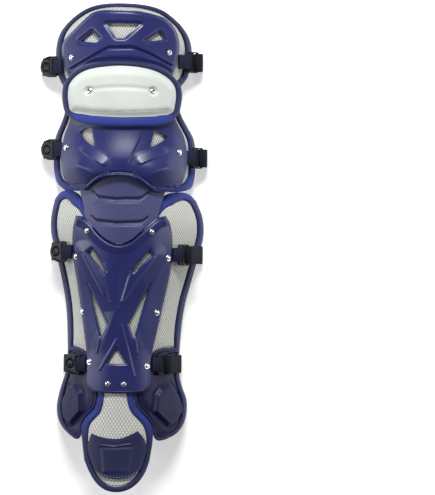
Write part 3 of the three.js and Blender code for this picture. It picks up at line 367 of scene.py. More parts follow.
def pillow(name, sides, columns, rows, top=None, puff=4.0, faces=None):
    """A foam panel in cloth: blown up a little by a cloth simulation inside its bound edge,
    and held down to where a hard piece lies on it."""
    grid = grid_in(sides, columns, rows)
    x, y = grid[..., 0], grid[..., 1]
    depth = from_edge(grid, loop_of(finer(sides, 60, 60)))
    full = 1 - (1 - smoothly(0, SLOPE_WIDTH, depth))**2
    over, under = faces(x, y, full) if faces else (bend(x, y, full - OVER_DROP), under_face(x, y, full))
    piece = closed_sheet(name, over, under)
    start = places_of(piece)
    blow_up(piece, np.flatnonzero(np.tile(depth.ravel(), 2) < HELD_WIDTH))
    moved = np.nan_to_num(places_of(piece)) - start
    far = np.linalg.norm(moved, axis=1, keepdims=True)
    blown = start + moved * np.minimum(1, puff * MM / np.maximum(far, 1e-9))
    x, y, offset = unbend(blown)
    if top is not None:
        offset = np.minimum(offset, top(x, y))
    piece.data.vertices.foreach_set("co", bend(x, y, offset).ravel())
    rounder = piece.modifiers.new("rounder", "SUBSURF")
    rounder.levels = rounder.render_levels = 1
    finish_modifiers(piece)
    shade(piece.data)
    lay_weave(piece)
    return piece


def node_graph(name):
    """A material's tree with its shader, and a short way to add a node."""
    material = bpy.data.materials.new(name)
    material.use_nodes = True
    tree = material.node_tree

    def add(kind, operation=None, **inputs):
        node = tree.nodes.new(kind)
        if operation:
            node.operation = operation
        for socket, value in inputs.items():
            key = int(socket[1:]) if socket[0] == "i" and socket[1:].isdigit() else socket.replace("_", " ")
            if isinstance(value, bpy.types.NodeSocket):
                tree.links.new(value, node.inputs[key])
            else:
                node.inputs[key].default_value = value
        return node

    return material, tree, tree.nodes["Principled BSDF"], add


def mix_colour(tree, add, share, first, second):
    mix = add("ShaderNodeMix")
    mix.data_type = "RGBA"
    for key, kind, value in (("Factor", "VALUE", share), ("A", "RGBA", first), ("B", "RGBA", second)):
        socket = next(i for i in mix.inputs if i.name == key and i.type == kind)
        if isinstance(value, bpy.types.NodeSocket):
            tree.links.new(value, socket)
        else:
            socket.default_value = value
    return next(o for o in mix.outputs if o.type == "RGBA")


def knit_cloth(name, colour, line_colour, wide, tall):
    """Knitted spacer mesh: rows of pale upright lozenges with darker sunken lines between."""
    material, tree, shader, add = node_graph(name)
    weave = add("ShaderNodeUVMap")
    weave.uv_map = "weave"
    waves = []
    for lean in (1.0, -1.0):
        dot = add("ShaderNodeVectorMath", "DOT_PRODUCT", i0=weave.outputs[0],
                  i1=(math.pi / wide, lean * math.pi / tall, 0))
        wave = add("ShaderNodeMath", "COSINE", i0=dot.outputs["Value"])
        waves.append(add("ShaderNodeMath", "ABSOLUTE", i0=wave.outputs[0]).outputs[0])
    low = add("ShaderNodeMath", "MINIMUM", i0=waves[0], i1=waves[1])
    line = add("ShaderNodeMapRange", i0=low.outputs[0], From_Min=0.62, From_Max=0.08)
    place = add("ShaderNodeTexCoord")
    patches = add("ShaderNodeTexNoise", Vector=place.outputs["Object"], Scale=28.0, Detail=3.0)
    tone = add("ShaderNodeMapRange", i0=patches.outputs["Fac"], To_Max=0.5)
    dusty = mix_colour(tree, add, tone.outputs[0], colour, tuple(c * 0.82 for c in colour[:3]) + (1,))
    # The sunken grooves are darkened towards the line colour: the knit's own darker lines, with painted
    # shade in the grooves.
    shade = add("ShaderNodeMath", "MULTIPLY", i0=line.outputs[0], i1=0.8)
    tree.links.new(mix_colour(tree, add, shade.outputs[0], dusty, line_colour), shader.inputs["Base Color"])
    bump = add("ShaderNodeBump", Height=line.outputs[0], Strength=0.7, Distance=0.0007)
    bump.invert = True
    tree.links.new(bump.outputs[0], shader.inputs["Normal"])
    shader.inputs["Roughness"].default_value = 0.85
    shader.inputs["Sheen Weight"].default_value = 0.15
    shader.inputs["Sheen Roughness"].default_value = 0.5
    return material


def woven_tape(name, colour, light, bright):
    """Woven binding: fine ribs, uneven dye, and a brighter blue where the tape is broad."""
    material, tree, shader, add = node_graph(name)
    broad = add("ShaderNodeAttribute")
    broad.attribute_name = "broad"
    place = add("ShaderNodeTexCoord")
    ribs = add("ShaderNodeTexVoronoi", Vector=place.outputs["Object"], Scale=900.0)
    patches = add("ShaderNodeTexNoise", Vector=place.outputs["Object"], Scale=60.0, Detail=4.0)
    share = add("ShaderNodeMapRange", i0=patches.outputs["Fac"], From_Min=0.35, From_Max=0.75)
    tone = mix_colour(tree, add, share.outputs[0], colour, light)
    tree.links.new(mix_colour(tree, add, broad.outputs["Fac"], tone, bright), shader.inputs["Base Color"])
    bump = add("ShaderNodeBump", Height=ribs.outputs["Distance"], Strength=0.35, Distance=0.0004)
    tree.links.new(bump.outputs[0], shader.inputs["Normal"])
    shader.inputs["Roughness"].default_value = 0.7
    shader.inputs["Sheen Weight"].default_value = 0.2
    shader.inputs["Sheen Roughness"].default_value = 0.4
    return material


light_knit = knit_cloth("light_knit", (0.70, 0.71, 0.66, 1), (0.24, 0.25, 0.235, 1), 0.0034, 0.0056)
navy_tape = woven_tape("navy_tape", (0.003, 0.005, 0.052, 1), (0.006, 0.011, 0.090, 1),
                       (0.012, 0.032, 0.26, 1))
TAPE_WIDTH, TAPE_OVER, TAPE_UNDER = 5, -0.3, -EDGE_THICK - 1.4
PUCKER, PUCKER_STEPS = 0.12, 4.0
FLOOR_REST, FLOOR_SOFT = 0.3 * MM, 0.8 * MM
# How far the tape leans outwards at the guard's two sides, for its height and for its width
SIDE_PUSH, PUSH_LIMIT, SIDE_BULGE = 0.9, 3.4, 2.4


def declare(piece, node, material=None):
    """A piece's material, if one is given, and the node it replaces, which is hidden; the piece hangs on the
    root.
    """
    if material:
        piece.data.materials.clear()
        piece.data.materials.append(material)
    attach(piece, "root")
    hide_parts(node)


def on_floor(points):
    """Points that would reach the floor rest on it instead, flattened softly."""
    height = (points[..., 2] - FLOOR_REST) / FLOOR_SOFT
    points[..., 2] = FLOOR_REST + FLOOR_SOFT * np.logaddexp(0, height)
    return points


def bound_tape(node, sides, width=TAPE_WIDTH, over=TAPE_OVER, under=TAPE_UNDER, level=0.0,
               columns=90, rows=70, base=TAPE_WIDTH, spread=0.0):
    """Tape folded round an edge and sewn down: round outside, a little puckered by its thread.
    Its share over the usual width is kept as an attribute, for the brighter cloth there."""
    outer, inner = (loop_of(finer(inset(sides, moved), columns, rows)) for moved in (spread, width))
    middle, tall = (over + under) / 2, (over - under) / 2
    # share of the way from the inner edge to the outer, and height from the middle
    profile = [(0.0, 0.80), (0.04, 1.0), (0.3, 1.05), (0.6, 1.0), (0.84, 0.84), (0.98, 0.5), (1.0, 0.0),
               (0.97, -0.5), (0.84, -0.84), (0.55, -1.0), (0.3, -1.04), (0.04, -1.0), (0.0, -0.80)]
    count = len(outer)
    pucker = np.sin(np.arange(count) * 2 * math.pi / PUCKER_STEPS) * PUCKER
    shift, half = form_at(outer[:, 1])[:2]
    sine = np.clip((outer[:, 0] - shift) / half, -1, 1)
    points, faces = [], []
    for out, height in profile:
        place = inner + (outer - inner) * out
        offset = middle + tall * height + pucker * (1 - out) * np.sign(height)
        push = SIDE_PUSH * np.minimum(np.abs(offset - over), PUSH_LIMIT) * sine * out
        ring = bend(place[:, 0] + push, place[:, 1], offset, level)
        ring[..., 0] += SIDE_BULGE * MM * sine * np.abs(sine)**2 * out**2
        points.append(on_floor(ring))
    for row in range(len(profile)):
        after = (row + 1) % len(profile)
        for step in range(count):
            turn = (step + 1) % count
            faces.append((row * count + step, after * count + step, after * count + turn,
                          row * count + turn))
    piece = new_piece(node + "_tape", np.concatenate(points), faces)
    broad = np.clip((np.linalg.norm(outer - inner, axis=1) - base) / 4.0, 0, 1)
    broad = (broad + np.roll(broad, 1) + np.roll(broad, -1)) / 3
    share = piece.data.attributes.new("broad", "FLOAT", "POINT")
    share.data.foreach_set("value", np.tile(broad, len(profile)))
    declare(piece, node, navy_tape)
    return piece


thigh_sides = outline(
    bottom=[(-0.8, 0), (-0.04, 0), (0.78, 0)],
    right=[(0.78, 0), (0.84, 0.1), (0.93, 0.2), (0.98, 0.39), (0.99, 0.53), (0.95, 0.66), (0.83, 0.79)],
    top=[(-0.83, 0.79), (-0.65, 0.9), (-0.42, 0.975), (-0.09, 1), (0.32, 0.985), (0.6, 0.925), (0.83, 0.79)],
    left=[(-0.8, 0), (-0.89, 0.11), (-0.95, 0.2), (-0.98, 0.37), (-1, 0.5), (-0.95, 0.67), (-0.83, 0.79)],
    half=THIGH_HALF, foot=THIGH_FOOT, length=THIGH_LENGTH, columns=12, rows=7)
thigh_plate_sides = outline(
    bottom=[(-0.72, 0.08), (0, 0.07), (0.66, 0.08)],
    right=[(0.66, 0.08), (0.71, 0.2), (0.76, 0.33), (0.8, 0.46), (0.81, 0.58), (0.77, 0.7), (0.69, 0.79)],
    top=[(-0.8, 0.65), (-0.65, 0.76), (-0.52, 0.85), (-0.38, 0.91), (-0.05, 0.925), (0.2, 0.915),
         (0.42, 0.885), (0.6, 0.845), (0.69, 0.79)],
    left=[(-0.72, 0.08), (-0.79, 0.18), (-0.86, 0.33), (-0.9, 0.46), (-0.89, 0.57), (-0.8, 0.65)],
    half=THIGH_HALF, foot=THIGH_FOOT, length=THIGH_LENGTH, columns=14, rows=9)
PRESSED, PRESSED_MORE = 0.2, 0.5


def inside(loop, x, y):
    """Whether places are inside a closed outline."""
    hit = np.zeros(np.shape(x), bool)
    for (ax, ay), (bx, by) in zip(loop, np.roll(loop, -1, axis=0)):
        if ay != by:
            crosses = (ay > y) != (by > y)
            hit ^= crosses & (x < (bx - ax) * (y - ay) / (by - ay) + ax)
    return hit


def from_rim(loop, x, y):
    """Distance from a closed outline."""
    return from_edge(np.stack([x, y], axis=-1), loop)


def away_from(loop, x, y):
    """Distance from a closed outline, below zero inside it."""
    distance = from_rim(loop, x, y)
    return np.where(inside(loop, x, y), -distance, distance)


def under_plate(plate, swell):
    """How high a pad may stand: pressed down under a hard plate, and fuller clear of its edge."""
    loop = loop_of(finer(plate, 30, 30))

    def top(x, y):
        clear = away_from(loop, x, y)
        return (-PRESSED - PRESSED_MORE * smoothly(2, 11, -clear)
                + (swell + PRESSED) * smoothly(0.5, 9, clear))
    return top


def knit_pad(node, sides, tape, columns, rows, plate, swell=2.6, cloth=light_knit):
    """A padded panel in knitted mesh, inside its tape and under its plate."""
    pad = pillow(node + "_knit", inset(sides, tape, GAP), columns, rows, under_plate(plate, swell))
    declare(pad, node, cloth)


knit_pad("thigh_pad", thigh_sides, TAPE_WIDTH, 44, 32, thigh_plate_sides)
thigh_binding = bound_tape("thigh_binding", thigh_sides)

# The knee pad: the same make, wider, under the knee cap.
knee_sides = outline(
    bottom=[(-0.79, 0), (-0.3, -0.005), (0.2, -0.005), (0.8, 0)],
    right=[(0.8, 0), (0.94, 0.02), (1.02, 0.12), (1.035, 0.3), (1.03, 0.48), (0.98, 0.64), (0.86, 0.78),
           (0.78, 0.97)],
    top=[(-0.8, 0.97), (-0.04, 1), (0.78, 0.97)],
    left=[(-0.79, 0), (-0.88, 0.03), (-0.95, 0.15), (-0.975, 0.32), (-0.965, 0.48), (-0.93, 0.64),
          (-0.84, 0.78), (-0.8, 0.97)],
    half=KNEE_HALF, foot=KNEE_FOOT, length=KNEE_LENGTH, columns=12, rows=8)
KNEE_CAP_HALF, KNEE_CAP_LENGTH = 78, 100
knee_plate_sides = outline(
    bottom=[(-0.76, 0.045), (-0.66, 0.015), (-0.54, 0.01), (-0.45, 0.07), (-0.35, 0.135), (-0.2, 0.185),
            (-0.03, 0.2), (0.15, 0.185), (0.3, 0.13), (0.42, 0.06), (0.55, -0.005), (0.67, -0.01),
            (0.8, 0.025)],
    right=[(0.8, 0.025), (0.9, 0.07), (0.985, 0.2), (1.035, 0.38), (1.04, 0.56), (1, 0.73), (0.9, 0.88),
           (0.82, 1.01)],
    top=[(-0.82, 1), (0, 1.03), (0.82, 1.01)],
    left=[(-0.76, 0.045), (-0.84, 0.1), (-0.91, 0.22), (-0.955, 0.38), (-0.96, 0.56), (-0.93, 0.73),
          (-0.87, 0.86), (-0.82, 1)],
    half=KNEE_CAP_HALF, foot=0, length=KNEE_CAP_LENGTH, columns=16, rows=11)
WING_BULGE = 1.7


def knee_tape(x, y):
    """The tape is broad along the foot."""
    return TAPE_WIDTH + 2.5 * (1 - smoothly(2, 16, y))


def knee_spread(x, y):
    """The foot's tape bulges towards the wings of the shin pad."""
    return -WING_BULGE * (1 - smoothly(2, 14, y))


knit_pad("knee_pad", knee_sides, knee_tape, 46, 32, knee_plate_sides)
knee_binding = bound_tape("knee_binding", knee_sides, knee_tape, spread=knee_spread)

# The shin pad: one long panel with a wing on each side of the flex panel at its top.
shin_sides = outline(
    bottom=[(-0.67, 0.02), (-0.45, -0.01), (-0.24, -0.1), (0, -0.13), (0.26, -0.1), (0.5, 0), (0.78, 0.02)],
    right=[(0.78, 0.02), (0.8, 0.15), (0.84, 0.3), (0.92, 0.45), (1.02, 0.63), (1.075, 0.76), (1.05, 0.87),
           (0.965, 0.955)],
    top=[(-0.865, 0.955), (-0.82, 0.985), (-0.745, 1), (-0.62, 0.998), (-0.535, 0.965), (-0.47, 0.9),
         (-0.4, 0.83), (-0.27, 0.79), (0, 0.775), (0.28, 0.79), (0.42, 0.83), (0.48, 0.9), (0.54, 0.96),
         (0.66, 0.997), (0.86, 0.995), (0.965, 0.955)],
    left=[(-0.67, 0.02), (-0.68, 0.14), (-0.7, 0.29), (-0.76, 0.45), (-0.86, 0.65), (-0.92, 0.77),
          (-0.91, 0.87), (-0.865, 0.955)],
    half=SHIN_HALF, foot=SHIN_FOOT, length=SHIN_LENGTH, columns=18, rows=9)
SHIN_PLATE_HALF = 64
shin_plate_sides = outline(
    bottom=[(-0.5, -0.232), (-0.3, -0.24), (0, -0.242), (0.3, -0.238), (0.5, -0.232)],
    right=[(0.5, -0.232), (0.6, -0.21), (0.645, -0.13), (0.66, 0), (0.74, 0.12), (0.87, 0.31), (0.965, 0.45),
           (1.03, 0.57), (1.04, 0.7), (1, 0.8), (0.9, 0.86)],
    top=[(-0.88, 0.855), (-0.78, 0.855), (-0.61, 0.82), (-0.41, 0.745), (-0.2, 0.695), (0, 0.68), (0.2, 0.7),
         (0.4, 0.755), (0.6, 0.81), (0.8, 0.86), (0.9, 0.86)],
    left=[(-0.5, -0.232), (-0.61, -0.195), (-0.63, -0.1), (-0.64, 0.02), (-0.68, 0.11), (-0.77, 0.29),
          (-0.86, 0.46), (-0.925, 0.575), (-0.955, 0.7), (-0.93, 0.8), (-0.88, 0.855)],
    half=SHIN_PLATE_HALF, foot=SHIN_FOOT, length=SHIN_LENGTH, columns=12, rows=22)


def shin_tape(x, y):
    """The tape is broad over the inner corner of each wing and narrow at the foot."""
    wing = np.exp(-((np.abs(x - 3) - 57) / 17)**2)
    return TAPE_WIDTH - 2.2 * (1 - smoothly(-214, -200, y)) + 7.5 * wing * smoothly(-30, -8, y)


def shin_spread(x, y):
    """The wings' tape bulges towards the knee pad."""
    return -WING_BULGE * smoothly(-16, -6, y)


knit_pad("shin_pad", shin_sides, shin_tape, 56, 58, shin_plate_sides)
shin_binding = bound_tape("shin_binding", shin_sides, shin_tape, columns=120, spread=shin_spread)

# The tongue and toe pad: one panel, narrow between the ankle pads and round at the toe, in
# a coarser knit, with a wide binding.
toe_sides = outline(
    bottom=[(-0.93, 0.28), (-0.72, 0.14), (-0.42, 0.035), (0, 0), (0.45, 0.04), (0.77, 0.15), (0.93, 0.28)],
    right=[(0.93, 0.28), (1.01, 0.45), (1, 0.57), (0.86, 0.66), (0.58, 0.75), (0.46, 0.84), (0.45, 1)],
    top=[(-0.59, 1), (-0.07, 1), (0.45, 1)],
    left=[(-0.93, 0.28), (-0.99, 0.42), (-1.03, 0.57), (-0.92, 0.66), (-0.68, 0.74), (-0.59, 0.84),
          (-0.59, 1)],
    half=TOE_HALF, foot=TOE_TIP, length=SHIN_FOOT - TONGUE_TUCK - TOE_TIP, columns=8, rows=12)
cap_sides = outline(
    bottom=[(-0.62, 0.42), (-0.5, 0.33), (-0.3, 0.275), (0.07, 0.25), (0.4, 0.29), (0.58, 0.35),
            (0.7, 0.44)],
    right=[(0.7, 0.44), (0.8, 0.66), (0.845, 0.8), (0.8, 0.95), (0.72, 1.04), (0.59, 1.13)],
    top=[(-0.72, 1.07), (-0.5, 1.02), (-0.2, 0.99), (0.08, 0.99), (0.35, 1.05), (0.59, 1.13)],
    left=[(-0.62, 0.42), (-0.74, 0.58), (-0.82, 0.74), (-0.83, 0.88), (-0.73, 1.07)],
    half=TOE_HALF, foot=TOE_TIP, length=TOE_REACH, columns=8, rows=6)
coarse_knit = knit_cloth("coarse_knit", (0.70, 0.71, 0.66, 1), (0.33, 0.34, 0.31, 1), 0.0044, 0.0070)
TOE_TAPE = 6.6


def toe_tape(x, y):
    """The tape is broad beside the tongue."""
    return TOE_TAPE + 2.0 * smoothly(-322, -300, y)


knit_pad("toe_pad", toe_sides, toe_tape, 30, 46, cap_sides, swell=1.6, cloth=coarse_knit)
toe_binding = bound_tape("toe_binding", toe_sides, toe_tape, columns=60, rows=90, base=TOE_TAPE)

# The ankle pads: wings in smooth dark leather with a raised six-sided block, moulded over
# foam. Each fills the corner between the shin pad's foot and the tongue.
ANKLE_OUTER = {
    "left": [(-0.7, -0.005), (-0.8, 0.05), (-0.92, 0.2), (-0.95, 0.33), (-0.93, 0.46), (-0.87, 0.64),
             (-0.81, 0.8)],
    "right": [(0.74, -0.02), (0.9, 0.045), (1.01, 0.17), (1.05, 0.33), (1.04, 0.46), (0.96, 0.64),
              (0.92, 0.8)],
}
ANKLE_BLOCK = {
    "left": [(-62, -249.5), (-54, -249.5), (-47.5, -258), (-46, -282), (-60, -300), (-70, -291),
             (-72.5, -270)],
    "right": [(66, -246), (55, -251.5), (49, -260), (47, -281), (65, -299), (76, -292), (82.5, -280),
              (77.5, -262)],
}


def ankle_outline(label, side):
    """Four sides, of which two follow the tongue and the shin pad's foot."""
    tongue = toe_sides[label]
    inner = [(x + side * 0.2, y) for x, y in tongue if y > ANKLE_FOOT + 1.2]
    upper = [(x, y - 0.2) for x, y in shin_sides["bottom"] if x * side > inner[-1][0] * side]
    if side > 0:
        upper.reverse()
    outer = sized(ANKLE_OUTER[label], ANKLE_HALF, ANKLE_FOOT, ANKLE_LENGTH)
    outer_run, inner_run = run(outer + upper[:1], 8), run(inner + upper[-1:], 8)
    upper_run, lower_run = run(upper, 5), run([outer[0], (side * 51.5, ANKLE_FOOT - 3), inner[0]], 5)
    if side < 0:
        return {"bottom": lower_run, "top": upper_run, "left": outer_run, "right": inner_run}
    return {"bottom": lower_run[::-1], "top": upper_run[::-1], "left": inner_run, "right": outer_run}


def grained(name, colour, dark, rough, grain, depth, shine=0.4):
    """Synthetic leather: fine pebbled grain, uneven tone, and gloss that varies with wear."""
    material, tree, shader, add = node_graph(name)
    place = add("ShaderNodeTexCoord")
    patches = add("ShaderNodeTexNoise", Vector=place.outputs["Object"], Scale=22.0, Detail=5.0)
    pebbles = add("ShaderNodeTexVoronoi", Vector=place.outputs["Object"], Scale=grain)
    tone = add("ShaderNodeMapRange", i0=patches.outputs["Fac"], From_Min=0.3, From_Max=0.75)
    tree.links.new(mix_colour(tree, add, tone.outputs[0], colour, dark), shader.inputs["Base Color"])
    gloss = add("ShaderNodeMapRange", i0=patches.outputs["Fac"], To_Min=rough - 0.08, To_Max=rough + 0.1)
    tree.links.new(gloss.outputs[0], shader.inputs["Roughness"])
    bump = add("ShaderNodeBump", Height=pebbles.outputs["Distance"], Strength=0.25, Distance=depth)
    tree.links.new(bump.outputs[0], shader.inputs["Normal"])
    shader.inputs["Specular IOR Level"].default_value = shine
    return material


def ankle_tape(x, y):
    """The tape is narrow where the shin pad's foot meets it."""
    return 3.6 - 1.8 * smoothly(-222, -212, y)


def ankle_faces(block):
    """The faces of an ankle pad: its block raised, with a sunk line round it."""
    def faces(x, y, full):
        apart = away_from(block, x, y)
        raised = 3.2 * (1 - smoothly(-1.8, 1.0, apart)) - 1.6 * np.exp(-((apart - 2.4) / 1.8)**2)
        raised = raised + 0.7 * np.exp(-((apart + 2.6) / 1.1)**2)
        return bend(x, y, full - OVER_DROP + raised), under_face(x, y, full)
    return faces


dark_leather = grained("dark_leather", (0.010, 0.009, 0.048, 1), (0.016, 0.013, 0.066, 1), 0.36, 1100.0,
                       0.0003, 0.22)
for label, side in (("left", -1), ("right", 1)):
    edges = ankle_outline(label, side)
    bound_tape(f"ankle_binding_{label}", edges, ankle_tape, columns=40, rows=60, base=4.0)
    wing = pillow(f"ankle_pad_{label}_leather", inset(edges, ankle_tape, 2 * GAP), 46, 64, puff=0.8,
                  faces=ankle_faces(np.array(ANKLE_BLOCK[label], float)))
    declare(wing, f"ankle_pad_{label}", dark_leather)

# The padded knee bar: smooth pale leather over foam, bound in tape, riveted over the ends of
# the thigh plate and the knee cap. A soft crease arcs between its two rivets.
FLAP_HALF, FLAP_LENGTH, FLAP_THICK = 76, 82, 12
FLAP_FOOT = THIGH_FOOT + 1 - FLAP_LENGTH / 2
FLAP_UNDER = 2.7 + 2 * GAP
FLAP_LEVEL = FLAP_UNDER + EDGE_THICK
flap_sides = outline(
    bottom=[(-0.8, 0.08), (-0.6, 0.02), (-0.3, -0.005), (0, -0.015), (0.3, -0.005), (0.62, 0.02),
            (0.83, 0.09)],
    right=[(0.83, 0.09), (0.94, 0.22), (0.98, 0.42), (0.98, 0.57), (0.94, 0.68), (0.85, 0.78)],
    top=[(-0.87, 0.79), (-0.7, 0.9), (-0.45, 0.965), (-0.05, 1), (0.35, 0.975), (0.65, 0.9), (0.85, 0.78)],
    left=[(-0.8, 0.08), (-0.95, 0.2), (-1, 0.4), (-1, 0.58), (-0.96, 0.69), (-0.87, 0.79)],
    half=FLAP_HALF, foot=FLAP_FOOT, length=FLAP_LENGTH, columns=12, rows=5)
FLAP_RIVETS = {"left": (-0.54 * FLAP_HALF, FLAP_FOOT + 0.53 * FLAP_LENGTH),
               "right": (0.5 * FLAP_HALF, FLAP_FOOT + 0.54 * FLAP_LENGTH)}
FLAP_CREASE = [(-41, 128.5), (-20, 131), (-3, 132), (17, 131.5), (38, 129.5)]
FLAP_SEAM = [(-62, 102), (-25, 100.6), (16, 102), (57, 105)]
DIMPLE_DEPTH, DIMPLE_RADIUS = 3.6, 4.9


def beside(x, y, start, end):
    """How far places are from a straight line, and their share of the way along it."""
    (ax, ay), (bx, by) = start, end
    along = (bx - ax)**2 + (by - ay)**2
    share = np.clip(((x - ax) * (bx - ax) + (y - ay) * (by - ay)) / along, 0, 1)
    return np.hypot(x - ax - share * (bx - ax), y - ay - share * (by - ay)), share


def from_line(x, y, line):
    """How far places are from a line of points."""
    return np.min([beside(x, y, a, b)[0] for a, b in zip(line[:-1], line[1:])], axis=0)


def groove(x, y, line, width, depth):
    """A smooth furrow along a line of points."""
    return -depth * np.exp(-(from_line(x, y, line) / width)**2)


def flap_faces(x, y, full):
    """The bar's faces: full in the middle, with a crease, a seam and a dimple at each rivet."""
    crown = FLAP_LEVEL - 0.6 + (FLAP_THICK - EDGE_THICK + 0.6) * full
    lines = groove(x, y, FLAP_CREASE, 2.4, 1.3) + groove(x, y, FLAP_SEAM, 1.2, 0.3)
    dimples = sum(-DIMPLE_DEPTH * np.exp(-(np.hypot(x - rx, y - ry) / DIMPLE_RADIUS)**4)
                  for rx, ry in FLAP_RIVETS.values())
    return bend(x, y, crown + lines + dimples, FLAP_LEVEL), bend(x, y, FLAP_UNDER + 0.8, FLAP_LEVEL)


def flap_tape(x, y):
    """The tape is broad along the foot of the bar."""
    return TAPE_WIDTH + 6 * (1 - smoothly(FLAP_FOOT + 2, FLAP_FOOT + 14, y))


flap = pillow("knee_flap_leather", inset(flap_sides, flap_tape, GAP), 90, 46, puff=0.7, faces=flap_faces)
pale_leather = grained("pale_leather", (0.56, 0.60, 0.555, 1), (0.63, 0.67, 0.63, 1), 0.5, 800.0, 0.00025)
declare(flap, "knee_flap", pale_leather)
flap_binding = bound_tape("knee_flap_binding", flap_sides, flap_tape, FLAP_LEVEL + GAP, FLAP_UNDER,
                          FLAP_LEVEL)

# The thigh plate: navy plastic, moulded with three windows and a crease that arches over the
# padded bar. Plates are all made so: a wall on a close grid, cut away inside its windows.
WALL = 2.7


def rounded(corners, radius):
    """A polygon with its corners rounded."""
    corners = np.asarray(corners, float)
    points = []
    for before, here, after in zip(np.roll(corners, 1, axis=0), corners, np.roll(corners, -1, axis=0)):
        start = here + (before - here) / np.linalg.norm(before - here) * radius
        end = here + (after - here) / np.linalg.norm(after - here) * radius
        for t in np.linspace(0, 1, 5):
            points.append((1 - t)**2 * start + 2 * t * (1 - t) * here + t**2 * end)
    return np.array(points)


def windows_in(half, foot, length, *tables):
    """Windows from tables of shares, each after the radius of its corners."""
    return [rounded(sized(corners, half, foot, length), radius) for radius, corners in tables]


def round_edges(piece, angle, width, segments):
    """A bevel on every edge sharper than an angle."""
    edge = piece.modifiers.new("round_edges", "BEVEL")
    edge.limit_method = "ANGLE"
    edge.angle_limit = math.radians(angle)
    edge.width = width
    edge.segments = segments
    finish_modifiers(piece)


def moulded(name, sides, spacing, relief, windows=(), wall=WALL, round_over=0.5):
    """A moulded wall: relief gives how far its underside stands off the pads."""
    width, length = np.ptp(loop_of(sides), axis=0)
    grid = grid_in(sides, int(width / spacing), int(length / spacing))
    centres = (grid[:-1, :-1] + grid[1:, 1:] + grid[:-1, 1:] + grid[1:, :-1]) / 4
    gone = np.zeros(centres.shape[:-1], bool)
    for window in windows:
        cut = inside(window, centres[..., 0], centres[..., 1])
        gone |= cut
        touched, left = np.zeros(grid.shape[:-1], bool), np.zeros(grid.shape[:-1], bool)
        for rows in (slice(0, -1), slice(1, None)):
            for columns in (slice(0, -1), slice(1, None)):
                touched[rows, columns] |= cut
                left[rows, columns] |= ~cut
        rim = touched & left
        start = grid[rim]
        best, nearest = np.full(len(start), 1e9), start.copy()
        for a, b in zip(window, np.roll(window, -1, axis=0)):
            share = np.clip(((start - a) @ (b - a)) / max((b - a) @ (b - a), 1e-9), 0, 1)
            place = a + share[:, None] * (b - a)
            apart = np.linalg.norm(start - place, axis=1)
            nearest = np.where((apart < best)[:, None], place, nearest)
            best = np.minimum(best, apart)
        grid[rim] = nearest
    x, y = grid[..., 0], grid[..., 1]
    stand = GAP + np.maximum(0, relief(x, y))
    piece = closed_sheet(name, bend(x, y, stand + wall, wall), bend(x, y, stand, wall), gone, sharp=50)
    round_edges(piece, 55, round_over * MM, 2)
    return piece


def recess(x, y, windows, width, depth):
    """The slope down into each window."""
    return sum(-depth * (1 - smoothly(0, width, away_from(window, x, y))) for window in windows)


def crest(x, y, start, end, width, height):
    """A straight ridge, sharp on top, that fades out at both ends."""
    return height * np.maximum(0, 1 - beside(x, y, start, end)[0] / width)


def sawtooth(x, y, line, ramp, height, ends=9.0):
    """A face that climbs towards a line and drops sharply on its far, lower side."""
    apart, arc_at, above = np.full(np.shape(x), 1e9), np.zeros(np.shape(x)), np.zeros(np.shape(x))
    arc = 0.0
    for (ax, ay), (bx, by) in zip(line[:-1], line[1:]):
        length = math.hypot(bx - ax, by - ay)
        far, share = beside(x, y, (ax, ay), (bx, by))
        closer = far < apart
        side = (y - ay) * (bx - ax) - (x - ax) * (by - ay)
        above = np.where(closer, np.sign(side) * np.sign(bx - ax), above)
        arc_at = np.where(closer, arc + share * length, arc_at)
        apart = np.minimum(apart, far)
        arc += length
    climb = np.maximum(0, 1 - apart / ramp)
    drop = 1 - smoothly(0, 1.5, apart)
    fade = smoothly(0, ends, arc_at) * smoothly(0, ends, arc - arc_at)
    return height * np.where(above > 0, climb, drop) * fade


def moulded_plastic(name, colour, pale, rough, shine=0.45):
    """Injection-moulded plastic: satin, faintly grained, with a paler bloom where handled."""
    material, tree, shader, add = node_graph(name)
    place = add("ShaderNodeTexCoord")
    bloom = add("ShaderNodeTexNoise", Vector=place.outputs["Object"], Scale=14.0, Detail=6.0)
    grain = add("ShaderNodeTexNoise", Vector=place.outputs["Object"], Scale=1400.0, Detail=2.0)
    share = add("ShaderNodeMapRange", i0=bloom.outputs["Fac"], From_Min=0.4, From_Max=0.8)
    tree.links.new(mix_colour(tree, add, share.outputs[0], colour, pale), shader.inputs["Base Color"])
    gloss = add("ShaderNodeMapRange", i0=bloom.outputs["Fac"], To_Min=rough - 0.06, To_Max=rough + 0.08)
    tree.links.new(gloss.outputs[0], shader.inputs["Roughness"])
    bump = add("ShaderNodeBump", Height=grain.outputs["Fac"], Strength=0.12, Distance=0.0003)
    tree.links.new(bump.outputs[0], shader.inputs["Normal"])
    shader.inputs["Specular IOR Level"].default_value = shine
    return material


navy_plastic = moulded_plastic("navy_plastic", (0.017, 0.021, 0.108, 1), (0.024, 0.029, 0.135, 1), 0.29)
THIGH_CREASE = [(-66, 155), (-42, 169.3), (-18, 182.6), (11.7, 183.6), (33.4, 175.6), (62, 161)]
THIGH_RISE = 3.2
thigh_windows = windows_in(
    THIGH_HALF, THIGH_FOOT, THIGH_LENGTH,
    (1.6, [(-0.25, 0.775), (0.25, 0.775), (0.02, 0.62), (-0.1, 0.62)]),
    (1.6, [(-0.45, 0.69), (-0.33, 0.6), (-0.39, 0.56), (-0.63, 0.58)]),
    (1.6, [(0.53, 0.7), (0.6, 0.61), (0.31, 0.58)]))
flap_loop = loop_of(finer(flap_sides, 30, 12))
thigh_plate_loop = loop_of(finer(thigh_plate_sides, 40, 30))


